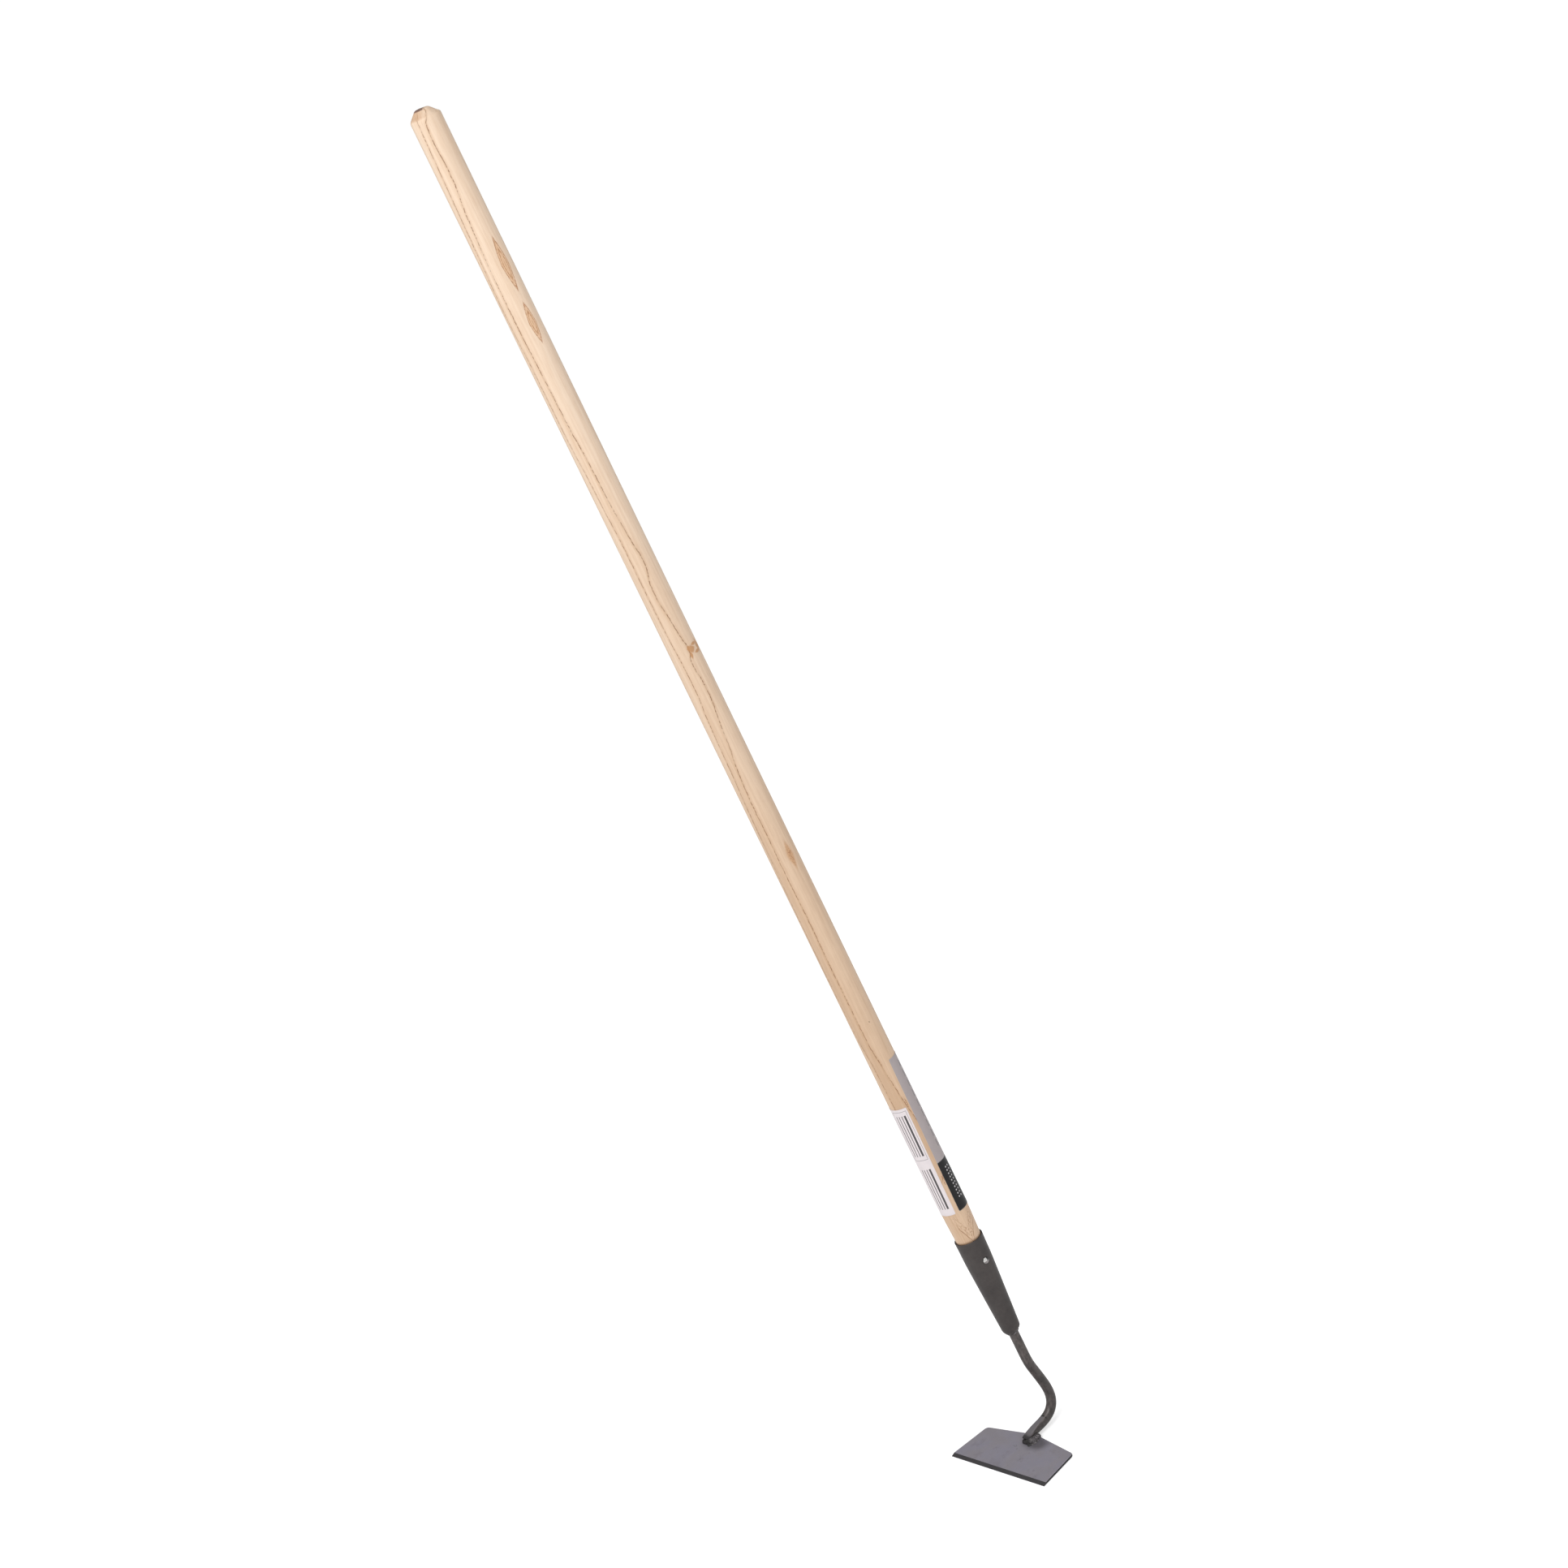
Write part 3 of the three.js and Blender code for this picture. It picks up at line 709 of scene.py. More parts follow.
def rivet_steel():
    shader = Shader("rivet_steel")
    point = shader.object_mm()
    x, y, z = shader.split(point)
    blotch = shader.noise(point, scale=1.1, detail=3.0, rough=0.6)
    scratch = shader.noise(shader.vector(x * 4.0, y * 0.6, z * 0.8),
                           scale=1.0, detail=2.0, rough=0.5)
    shader.color = shader.mix(blotch, (196, 194, 192), (232, 230, 228))
    shader.paint(blotch.ramp(0.62, 0.75), (120, 117, 115), opacity=0.3)
    # across and up are measured from the rivet's axis
    across = (x - (AX + 0.22)) * -math.sin(RIVET_AZ) + y * math.cos(RIVET_AZ)
    up = z - (RIM + RIVET_Z)
    ragged = (blotch - 0.5) * 1.2
    # painted shade: the lower half is painted a duller grey
    dull = (up + ragged).ramp(-0.3, -1.1)
    lower_half_shade = shader.mix(blotch.ramp(0.45, 0.6), (92, 85, 86), (150, 141, 142))
    shader.paint(dull, lower_half_shade, opacity=0.85)
    # painted dark reflection in black on one upper side, and painted shade in a line below the
    # middle and round the rim
    black = (across + ragged).ramp(0.5, 1.1) * (up + ragged).ramp(-0.9, -0.1)
    black = black | abs((up + ragged * 0.6) + 0.55).ramp_down(0.10, 0.42) * 0.60
    black = black | hypotenuse(across, up).ramp(3.25, 3.6)
    shader.paint(black, (22, 18, 18), opacity=0.96)
    return shader.finish(
        rough=scratch.times_plus(0.14, dull.times_plus(0.15, 0.16)),
        metal=black.times_plus(-0.8, dull.times_plus(-0.85, 1.0), clamp=True),
        normal=shader.bump(blotch + scratch * 0.4, strength=0.25, distance=0.05))


# ------------------------------------------------------------------ label films
def label_material(name, ground, bars, ink, rough, lines=(), line_ink=None):
    """Film printed with plain bars and lines: (arc, half width, one end height, the other)."""
    shader = Shader(name)
    point = shader.object_mm()
    x, y, z = shader.split(point)
    x = x - AX
    z = z - RIM
    arc = seen_side(x, y, HANDLE_R + 0.2)[1]
    # follow the label's slight lean
    arc = arc - (z - WHITE_MID) * (LABEL_SKEW * math.pi / 180.0 * HANDLE_R)
    clouds = shader.noise(point, scale=0.12, detail=3.0, rough=0.55)
    fine = shader.noise(point, scale=2.2, detail=2.0, rough=0.5)
    red, green, blue, _ = srgb(*ground)
    shader.color = shader.mix(
        (clouds - 0.5).times_plus(1.3, 0.5, clamp=True),
        (red * 0.93, green * 0.93, blue * 0.95, 1),
        (min(1, red * 1.04), min(1, green * 1.04), min(1, blue * 1.04), 1))

    def bar(centre, half, z0, z1, soft):
        middle, half_height = (z0 + z1) / 2, abs(z1 - z0) / 2
        return (abs(arc - centre).ramp_down(half - soft, half + soft)
                * abs(z - middle).ramp_down(half_height - soft, half_height + soft))

    printed = largest(bar(*entry, soft=0.12) for entry in bars)
    shader.paint(printed * fine.ramp(0.25, 0.5, to=(0.82, 0.97)), ink)
    if lines:
        shader.paint(largest(bar(*entry, soft=0.08) for entry in lines), line_ink, opacity=0.8)
    scuffs = shader.noise(shader.vector(x * 0.5, y * 0.5, z * 0.10),
                          scale=1.0, detail=4.0, rough=0.65)
    shader.paint(scuffs.ramp(0.60, 0.78), (150, 146, 146), opacity=0.16)
    shader.paint(shader.pointiness().ramp(0.53, 0.60), (214, 210, 210), opacity=0.35)
    return shader.finish(
        rough=(scuffs - 0.5).times_plus(0.25, rough, clamp=True),
        normal=shader.bump(clouds + fine * 0.15, strength=0.12, distance=0.12),
        Coat_Weight=0.06, Coat_Roughness=0.3, Specular_IOR_Level=0.3)


# ------------------------------------------------------------------ handle
TANG = 97.0                                      # length of wood inside the socket
DRESSED = 9.8                                    # height of the rasped grip end
# Radius above the socket mouth: (height, radius)
NECK = [(0, 13.6), (6, 13.72), (12, 13.95), (20, 14.28), (27, 14.52), (34, 14.72),
        (42, 14.84), (60, 14.85)]
# Soft 45 degree dressing round the sawn top: (reduction in radius, depth below the top)
GRIP_END = [(0.0, DRESSED), (0.06, 9.0), (0.28, 8.2), (0.75, 7.3), (1.5, 6.4), (2.4, 5.4),
            (3.4, 4.4), (4.5, 3.3), (5.6, 2.2), (6.5, 1.3), (7.2, 0.65), (7.9, 0.2),
            (8.5, 0.0), (10.0, 0.0), (11.6, 0.0), (13.2, 0.0)]


def handle_profile():
    """(radius, height) from the tang's lower end to the grip end."""
    profile = [(8.0, -TANG), (8.5, -TANG + 1.5)]
    for i in range(1, 12):
        t = i / 12
        radius = 8.5 + (13.45 - 8.5) * t + 0.5 * math.sin(math.pi * t)
        profile.append((radius, -TANG + 1.5 + (TANG - 5.5) * t))
    profile += [(13.45, -4.0), (13.52, -2.0), (13.58, -0.5), (13.6, 0.0)]
    neck_z, neck_r = zip(*NECK)
    for z in np.arange(1.0, 60.0, 1.5):
        profile.append((float(np.interp(z, neck_z, neck_r)), float(z)))
    for z in np.arange(60.0, TOP - 12.0, 5.0):
        swell = GRIP_SWELL * max(0.0, (float(z) - 640.0) / 600.0)
        profile.append((HANDLE_R + swell, float(z)))
    profile += [(HANDLE_R + GRIP_SWELL - cut, TOP - depth) for cut, depth in GRIP_END]
    return profile


def build_handle():
    segments = 128
    angles = circle(segments)
    quarters = np.arange(segments) % (segments // 4) == 0
    rings = []
    for profile_r, z in handle_profile():
        radius = profile_r
        if 0 < z < TOP - 0.5:
            # a few hundredths out of round, never proud of the true radius,
            # which four points at one height keep
            slow = noise_round(angles, 0.8, z / 90.0, octaves=2)
            quick = noise_round(angles, 3.0, z / 30.0)
            radius = profile_r - 0.045 * (0.5 + 0.5 * slow) - 0.012 * (0.5 + 0.5 * quick)
            radius = np.where(quarters & (abs(z - 300) < 3), profile_r, radius)
        if z > TOP - DRESSED:
            # the dressing is a few rasp facets and leans a little to one side
            inward = min(1.0, (z - (TOP - DRESSED)) / 5.0)
            grain = noise_round(angles, 2, z / 5.0)
            facet = 0.35 * np.abs(np.sin(3.5 * angles + 0.6)) + 0.25 * (0.5 + 0.5 * grain)
            radius = np.maximum(radius - facet * inward * min(1.0, profile_r / 8.0), 0.3)
            side = np.cos(angles - (VIEW_AZ + math.pi / 2)) * radius
            z = z - 1.25 * inward * np.clip((side + 2.0) / 15.0, 0, 1) ** 1.3
            rings.append(polar(radius, angles, z))
        else:
            rings.append(polar(radius, angles, z, lean_at(z)))
    caps = [(True, (AX, 0, RIM + TOP)), (False, (AX + lean_at(-TANG), 0, RIM - TANG))]
    return make_object("ash_handle", *join_and_cap(rings, segments, caps))


# ------------------------------------------------------------------ socket
# Outside of the socket: height from the mouth, and radius there
SOCKET_Z = [-114.0, -112.0, -42.0, -33.0, -24.0, -9.0, -1.0, 0.0]
SOCKET_R = [10.05, 10.2, 13.96, 14.42, 14.78, 15.05, 15.35, 15.35]


def socket_outer(z):
    return float(np.interp(z, SOCKET_Z, SOCKET_R))


def socket_end(angle):
    """Height of the closed-in lower end, which isn't square."""
    return -119.2 - 1.6 * np.cos(angle - math.radians(-30))


def build_socket():
    segments = 192
    angles = circle(segments)
    bore = 5.38                                  # hole for the bar
    shoulder = -113.6                            # where the end starts to close in
    rings = []

    def dented(radius, z):
        slow = noise_round(angles, 1.3, z / 38.0, octaves=3, shift=(7, 0.0))
        quick = noise_round(angles, 4.0, z / 9.0, shift=(0.0, 9))
        return radius + 0.11 * slow + 0.03 * quick - 0.03

    # closed end, from the bar outwards: (radius, share of the way down to the end)
    for radius, share in ((bore + 0.05, 1.0), (bore + 0.45, 1.0), (bore + 1.0, 0.93),
                          (bore + 2.0, 0.72), (bore + 3.1, 0.48), (9.35, 0.25),
                          (9.75, 0.09), (9.9, 0.0)):
        z = shoulder + (socket_end(angles) - shoulder) * share
        rings.append(polar(radius, angles, z, SOCKET_LEAN))
    for z, inset in ((-113.0, 0.10), (-112.2, 0.03), (-111.0, 0.03)):
        rings.append(polar(dented(socket_outer(z) - inset, z), angles, z, lean_at(z)))
    for z in np.arange(-109.0, -3.0, 1.6):
        z = float(z)
        radius = np.minimum(dented(socket_outer(z), z), socket_outer(z))
        # shallow dimple round each rivet end
        for azimuth in (RIVET_AZ, RIVET_AZ + math.pi):
            turn = (angles - azimuth + math.pi) % (2 * math.pi) - math.pi
            away = np.sqrt((turn * 14.2) ** 2 + (z - RIVET_Z) ** 2)
            radius = radius - 0.42 * np.exp(-(away / 4.3) ** 4)
        rings.append(polar(radius, angles, z, lean_at(z)))
    # rounded lip of the mouth, over and inside: (radius, height)
    outer = 15.335
    inner = outer - SOCKET_WALL
    for radius, z in ((outer - 0.05, -2.0), (outer - 0.01, -1.2), (outer, -0.6),
                      (outer - 0.05, -0.28), (outer - 0.2, -0.08), (outer - 0.42, 0.0),
                      (inner + 0.42, 0.0), (inner + 0.2, -0.08), (inner + 0.06, -0.3),
                      (inner, -0.7)):
        rings.append(polar(radius, angles, z))
    for z in (-3.0, -9.0, -20.0, -40.0, -70.0, -100.0, -111.0):
        rings.append(polar(socket_outer(z) - SOCKET_WALL, angles, z, lean_at(z)))
    rings.append(polar(bore + 0.6, angles, -116.0, SOCKET_LEAN))
    rings.append(polar(bore + 0.05, angles, -117.0, SOCKET_LEAN))
    return make_object("forged_socket", *join_rings(rings, segments, closed_profile=True))


# ------------------------------------------------------------------ rivet
def build_rivet():
    """One rivet right through the socket, along RIVET_AZ, a little below its mouth."""
    segments = 64
    angles = circle(segments)
    seat = socket_outer(RIVET_Z) - 0.55          # from the axis to under each head
    dome_base, dome_rise = seat + 0.3, 1.75
    # (radius, distance along the rivet): flat hammered head, shank, domed head
    profile = [(0.6, -seat - 1.35), (1.6, -seat - 1.3), (2.5, -seat - 1.1),
               (3.05, -seat - 0.75), (3.2, -seat - 0.3), (3.1, -seat + 0.15),
               (2.4, -seat + 0.3), (2.4, 0.0), (2.4, seat - 0.2), (3.55, seat - 0.1),
               (3.68, seat + 0.2)]
    for degrees in (8, 18, 30, 42, 54, 66, 78):
        t = math.radians(degrees)
        profile.append((3.7 * math.cos(t), dome_base + dome_rise * math.sin(t)))
    rings = []
    for radius, along in profile:
        wobble = 1 + 0.012 * noise_round(angles, 2, along * 0.7)
        rings.append(np.stack([radius * wobble * np.cos(angles),
                               radius * wobble * np.sin(angles),
                               np.full(segments, along)], 1))
    caps = [(False, (0, 0, profile[0][1] - 0.02)), (True, (0, 0, dome_base + dome_rise))]
    verts, faces = join_and_cap(rings, segments, caps)
    outward = np.array([math.cos(RIVET_AZ), math.sin(RIVET_AZ), 0])
    sideways = np.array([-math.sin(RIVET_AZ), math.cos(RIVET_AZ), 0])
    upward = np.array([0, 0, 1.0])
    centre = np.array([AX + lean_at(-26.0), 0, RIM + RIVET_Z])
    placed = (verts[:, 0:1] * sideways + verts[:, 1:2] * upward + verts[:, 2:3] * outward
              + centre)
    return make_object("socket_rivet_bright", placed, faces)


# ------------------------------------------------------------------ gooseneck bar
BAR_R = 5.35
BAR_STEP = 0.55                                  # spacing of the rings
# Centre line: (x from the handle axis, depth below the mouth)
BAR_PATH = [
    (0.85, 103.6), (0.9, 113), (0.95, 121), (0.9, 131), (0.9, 141.4), (0.9, 151.5),
    (0.2, 161.5), (-1.8, 172), (-4.1, 183), (-5.9, 193.5), (-6.35, 200.5), (-5.6, 208.3),
    (-2.6, 215.4), (2.6, 220.6), (9.6, 223.6), (18.4, 225.1), (28.5, 225.4), (42.8, 225.4)]
# Flat top of the forged toe: x from the handle axis, and depth below the mouth
TOE_X = [12.6, 13.0, 14.2, 20.0, 26.7, 34.9, 40.5, 50]
TOE_DEPTH = [218.6, 219.6, 220.15, 220.95, 222.05, 224.1, 225.9, 228.3]


def catmull_rom(points, per_span=26):
    """Centripetal Catmull-Rom curve through the points."""
    points = np.array(points, float)
    points = np.vstack([2 * points[0] - points[1], points, 2 * points[-1] - points[-2]])
    curve = []
    for i in range(1, len(points) - 2):
        span = points[i - 1:i + 3]
        knots = [0.0]
        for j in range(3):
            knots.append(knots[-1] + np.linalg.norm(span[j + 1] - span[j]) ** 0.5)
        for t in np.linspace(knots[1], knots[2], per_span, endpoint=False):

            def between(start, end, first, last):
                t0, t1 = knots[first], knots[last]
                return (t1 - t) / (t1 - t0) * start + (t - t0) / (t1 - t0) * end

            a1, a2, a3 = (between(span[j], span[j + 1], j, j + 1) for j in range(3))
            curve.append(between(between(a1, a2, 0, 2), between(a2, a3, 1, 3), 1, 2))
    curve.append(points[-2])
    return np.array(curve)


def space_evenly(points, step):
    run = np.r_[0, np.cumsum(np.linalg.norm(np.diff(points, axis=0), axis=1))]
    stations = np.linspace(0, run[-1], int(round(run[-1] / step)) + 1)
    return np.stack([np.interp(stations, run, points[:, k])
                     for k in range(points.shape[1])], 1)


def build_bar():
    path = space_evenly(catmull_rom(BAR_PATH), 0.6)
    # ease out the small kinks between control points
    for _ in range(20):
        path[1:-1] = 0.5 * path[1:-1] + 0.25 * (path[:-2] + path[2:])
    path = space_evenly(path, BAR_STEP)
    tangents = np.gradient(path, axis=0)
    tangents /= np.linalg.norm(tangents, axis=1)[:, None]
    segments = 72
    angles = circle(segments)
    plate_top = -(RIM - PLATE) + 0.02
    rings = []
    for i, ((centre_x, depth), (along_x, along_depth)) in enumerate(zip(path, tangents)):
        wobble = noise_round(angles, 1.2, i * BAR_STEP / 16.0, octaves=3, shift=(31, 0.0))
        radius = BAR_R - 0.01 + 0.07 * wobble
        # (along_depth, along_x) is the normal to the path in the x, z plane
        x = centre_x + radius * np.cos(angles) * along_depth
        y = radius * np.sin(angles)
        z = -depth + radius * np.cos(angles) * along_x
        # forged toe: flat on top, spread a little sideways
        spread = np.clip((x - 22.0) / 18.0, 0, 1)
        y = y * (1 + 0.12 * spread * spread)
        toe_top = -np.interp(x, TOE_X, TOE_DEPTH)
        hammered = np.array([0.05 * fbm(px * 0.35, py * 0.35, 2.0, 2) for px, py in zip(x, y)])
        z = np.where((x > TOE_X[0]) & (z > toe_top), toe_top + hammered, z)
        # it rests on the plate; the very end is lifted on the -Y side, where the weld is open
        lift = 1.5 * np.clip((x - 38.0) / 4.5, 0, 1) * np.clip((1.0 - y) / 3.0, 0, 1)
        z = np.maximum(z, plate_top + lift)
        rings.append(np.stack([AX + x, y, RIM + z], 1))
    # slightly bulged, uneven end face
    end, bulge = rings[-1], 0.35
    centre = end.mean(0)
    for j, size in enumerate((0.93, 0.8, 0.55, 0.28)):
        ring = centre + (end - centre) * size
        ring[:, 0] += bulge * (1 - size) ** 0.5
        ring[:, 0] += np.array([0.22 * fbm(point[1] * 0.6, point[2] * 0.6, 4.0 + j, 2)
                                for point in ring]) * (1 - size)
        rings.append(ring)
    caps = [(True, centre + np.array([bulge, 0, 0])), (False, rings[0].mean(0))]
    return make_object("gooseneck_bar", *join_and_cap(rings, segments, caps))


# ------------------------------------------------------------------ blade
BEVEL_X = EDGE_X - 4.3                           # where the ground bevel starts
EDGE_LAND = 0.35                                 # thickness left at the cutting edge
BACK_HALF = 71.3                                 # half width at BACK_X


def round_corner(corner, before, after, radius, steps=7):
    """Arc that replaces the corner between its two neighbours."""
    corner, before, after = (np.array(q, float) for q in (corner, before, after))
    to_before = (before - corner) / np.linalg.norm(before - corner)
    to_after = (after - corner) / np.linalg.norm(after - corner)
    half = math.acos(float(np.clip(to_before @ to_after, -1, 1))) / 2
    bisector = to_before + to_after
    centre = corner + bisector / np.linalg.norm(bisector) * (radius / math.sin(half))
    tangent = radius / math.tan(half)
    start = math.atan2(*(corner + to_before * tangent - centre)[::-1])
    end = math.atan2(*(corner + to_after * tangent - centre)[::-1])
    sweep = (end - start + math.pi) % (2 * math.pi) - math.pi
    turns = [start + sweep * i / steps for i in range(steps + 1)]
    return [tuple(centre + radius * np.array([math.cos(t), math.sin(t)])) for t in turns]


def slice_mesh(bm, point, normal, **options):
    bmesh.ops.bisect_plane(bm, geom=list(bm.verts) + list(bm.edges) + list(bm.faces),
                           plane_co=point, plane_no=normal, dist=1e-8, **options)


def build_blade():
    # outline corners; left is -Y, right is +Y
    edge_left, edge_right = (EDGE_X, -EDGE_WIDTH / 2), (EDGE_X, EDGE_WIDTH / 2)
    back_left, back_right = (BACK_X, -BACK_HALF), (BACK_X, BACK_HALF)
    apex = (APEX_X - 0.05, 0.0)
    outline = [edge_left, edge_right]
    outline += round_corner(back_right, edge_right, apex, radius=5.4)
    outline += round_corner(apex, back_right, back_left, radius=2.0, steps=4)
    outline += round_corner(back_left, apex, edge_left, radius=5.4)

    bm = bmesh.new()
    face = bm.faces.new([bm.verts.new((x * MM, y * MM, 0.0)) for x, y in outline])
    extruded = bmesh.ops.extrude_face_region(bm, geom=[face])
    for element in extruded["geom"]:
        if isinstance(element, bmesh.types.BMVert):
            element.co.z = PLATE * MM
    bmesh.ops.recalc_face_normals(bm, faces=bm.faces)
    # ground bevel
    bevel_normal = Vector((PLATE - EDGE_LAND, 0, EDGE_X - BEVEL_X)).normalized()
    slice_mesh(bm, Vector((BEVEL_X, 0, PLATE)) * MM, bevel_normal, clear_outer=True)
    bmesh.ops.holes_fill(bm, edges=[e for e in bm.edges if e.is_boundary], sides=0)
    bmesh.ops.remove_doubles(bm, verts=bm.verts, dist=1e-7)
    bmesh.ops.recalc_face_normals(bm, faces=bm.faces)
    # break the sheared edges, but not those on the cutting edge's own face
    sheared = [e for e in bm.edges
               if len(e.link_faces) == 2 and e.calc_face_angle() > math.radians(15)
               and not all(abs(v.co.x - EDGE_X * MM) < 1e-5 for v in e.verts)]
    bmesh.ops.bevel(bm, geom=sheared, offset=0.24 * MM, segments=3, profile=0.5,
                    affect="EDGES", clamp_overlap=True)
    # grid the plate so that it can carry a faint roll wave
    for x in np.arange(APEX_X + 2.5, EDGE_X - 0.5, 3.0):
        slice_mesh(bm, (x * MM, 0, 0), (1, 0, 0))
    for y in np.arange(-75.0, 76.0, 3.0):
        slice_mesh(bm, (0, y * MM, 0), (0, 1, 0))
    for vert in bm.verts:
        x, y, z = vert.co / MM
        if z > PLATE - 0.02:
            vert.co.z += (0.035 * fbm(x / 30.0, y / 30.0, 1.0, 2) - 0.02) * MM
        elif x > EDGE_X - 1.0 and z > 0.1:
            vert.co.z += 0.05 * fbm(3.0, y / 7.0, 8.0, 3) * MM
    # nicks along the cutting edge
    for vert in bm.verts:
        x, y, z = vert.co / MM
        if x > EDGE_X - 0.6:
            vert.co.x -= 0.16 * max(0.0, fbm(1.0, y / 4.2, 3.0, 3)) * MM
    mesh = bpy.data.meshes.new("blade_plate")
    bm.to_mesh(mesh)
    bm.free()
    return weight_normals(link_object("blade_plate", mesh))


# ------------------------------------------------------------------ welds
# Places on the blade as x from the handle axis, y, and for some the height over the plate
FILLET_PATH = [(31.8, 6.4), (34.0, 7.0), (36.2, 7.4), (38.4, 7.7), (40.6, 7.8), (42.6, 7.3),
               (44.0, 6.0), (44.8, 4.0), (45.2, 1.6), (45.1, -0.8), (44.6, -2.8)]
FUSED = [(33.0, 4.9, 3.2), (35.6, 5.2, 3.6), (38.2, 5.2, 3.4), (40.6, 5.0, 3.0),
         (42.6, 4.2, 2.4)]
# the last column is the drop's radius
DROPS = [(43.6, 8.6, 2.6, 1.5), (40.2, 10.2, 1.6, 1.4), (36.0, 9.8, 2.2, 1.5),
         (46.0, 3.4, 1.6, 1.3), (33.2, 8.8, 2.4, 1.4), (45.6, 6.2, 1.2, 1.5)]
SKIRT = [(33.5, 8.8), (37.0, 9.8), (40.6, 10.3), (43.6, 9.7), (46.0, 7.4)]
THIN_FILLET = [(32.0, -5.4), (34.4, -5.6), (36.8, -5.8), (39.2, -5.8), (41.2, -5.4)]


def melt_blobs(name, blobs, voxel, relief, floor_z, noise_scale, seed):
    """Fuse ellipsoids (centre, radii, turn about Z) into one rough bead above floor_z."""
    bm = bmesh.new()
    for centre, radii, turn in blobs:
        ball = bmesh.ops.create_icosphere(bm, subdivisions=3, radius=1.0)
        matrix = (Matrix.Translation(Vector(centre) * MM) @ Matrix.Rotation(turn, 4, "Z")
                  @ Matrix.Diagonal((radii[0] * MM, radii[1] * MM, radii[2] * MM, 1)))
        bmesh.ops.transform(bm, matrix=matrix, verts=ball["verts"])
    mesh = bpy.data.meshes.new(name)
    bm.to_mesh(mesh)
    bm.free()
    ob = bpy.data.objects.new(name, mesh)
    bpy.context.scene.collection.objects.link(ob)
    remesh = ob.modifiers.new("vox", "REMESH")
    remesh.mode = "VOXEL"
    remesh.voxel_size = voxel * MM
    remesh.adaptivity = 0.0
    smooth = ob.modifiers.new("sm", "SMOOTH")
    smooth.factor = 0.5
    smooth.iterations = 4
    apply_modifiers(ob)
    mesh = ob.data
    mesh.update()
    normals = [vert.normal.copy() for vert in mesh.vertices]
    for vert, normal in zip(mesh.vertices, normals):
        at = vert.co / MM
        coarse = fbm(at.x * noise_scale + seed, at.y * noise_scale, at.z * noise_scale, 3)
        fine = noise.noise(Vector((at.x * 2.2 + seed, at.y * 2.2, at.z * 2.2)))
        vert.co += normal * (relief * coarse + relief * 0.30 * fine) * MM
        if vert.co.z < floor_z * MM:
            vert.co.z = floor_z * MM
    for polygon in mesh.polygons:
        polygon.use_smooth = True
    return ob


def build_blade_weld():
    rnd = random.Random(11)
    blobs = []

    def add(x, y, z, radii, turn=None):
        turn = rnd.uniform(0, 3) if turn is None else turn
        blobs.append(((AX + x, y, PLATE + z), radii, turn))

    # +Y side: a heavy fillet with ripples, running on round the end of the bar
    for i, (x, y) in enumerate(FILLET_PATH):
        shift = rnd.uniform(-0.25, 0.25)
        size = 1.0 + 0.13 * rnd.uniform(-1, 1)
        t = i / (len(FILLET_PATH) - 1)
        radius_y = (3.4 + 0.9 * math.sin(t * math.pi)) * size
        radius_z = (3.9 + 0.9 * math.sin(t * math.pi * 0.9)) * size * (0.72 if t > 0.8 else 1.0)
        blobs.append(((AX + x + shift, y, PLATE + 0.2),
                      (2.25 * size, radius_y if t < 0.75 else 2.0, radius_z),
                      rnd.uniform(-0.3, 0.3)))
    # fused against the side of the bar
    for x, y, z in FUSED:
        add(x, y, z * 0.75, (2.0, 1.7, 1.9 + 0.3 * rnd.random()))
    # separate drops that stand proud of the bead
    for x, y, z, radius in DROPS:
        add(x, y, z, (radius, radius * 1.1, radius))
    # a lower skirt that wets out on to the plate
    for x, y in SKIRT:
        add(x, y, 0.0, (2.7, 2.6, 1.2 + 0.3 * rnd.random()))
    # -Y side: a thin fillet
    for x, y in THIN_FILLET:
        add(x, y, 0.0, (2.0, 1.9 + 0.3 * rnd.random(), 2.1))
    return melt_blobs("blade_weld_bead", blobs, voxel=0.34, relief=0.42,
                      floor_z=PLATE + 0.005, noise_scale=0.55, seed=3.0)


def build_socket_weld():
    """Ring of weld round the bar where it enters the socket."""
    rnd = random.Random(5)
    ring_r = 5.65
    blobs = []
    for i in range(26):
        azimuth = math.radians(60 + i * 9.6)
        heavy_side = math.cos(azimuth - math.radians(150))
        z = float(socket_end(azimuth)) - 0.15
        size = 0.75 + 0.35 * max(0.0, heavy_side) + 0.1 * rnd.uniform(-1, 1)
        centre = (AX + SOCKET_LEAN + ring_r * math.cos(azimuth),
                  ring_r * math.sin(azimuth), RIM + z)
        blobs.append((centre, (1.05 * size, 1.05 * size, 1.25 * size), 0.0))
    return melt_blobs("socket_weld_bead", blobs, voxel=0.22, relief=0.16,
                      floor_z=0.0, noise_scale=1.0, seed=9.0)


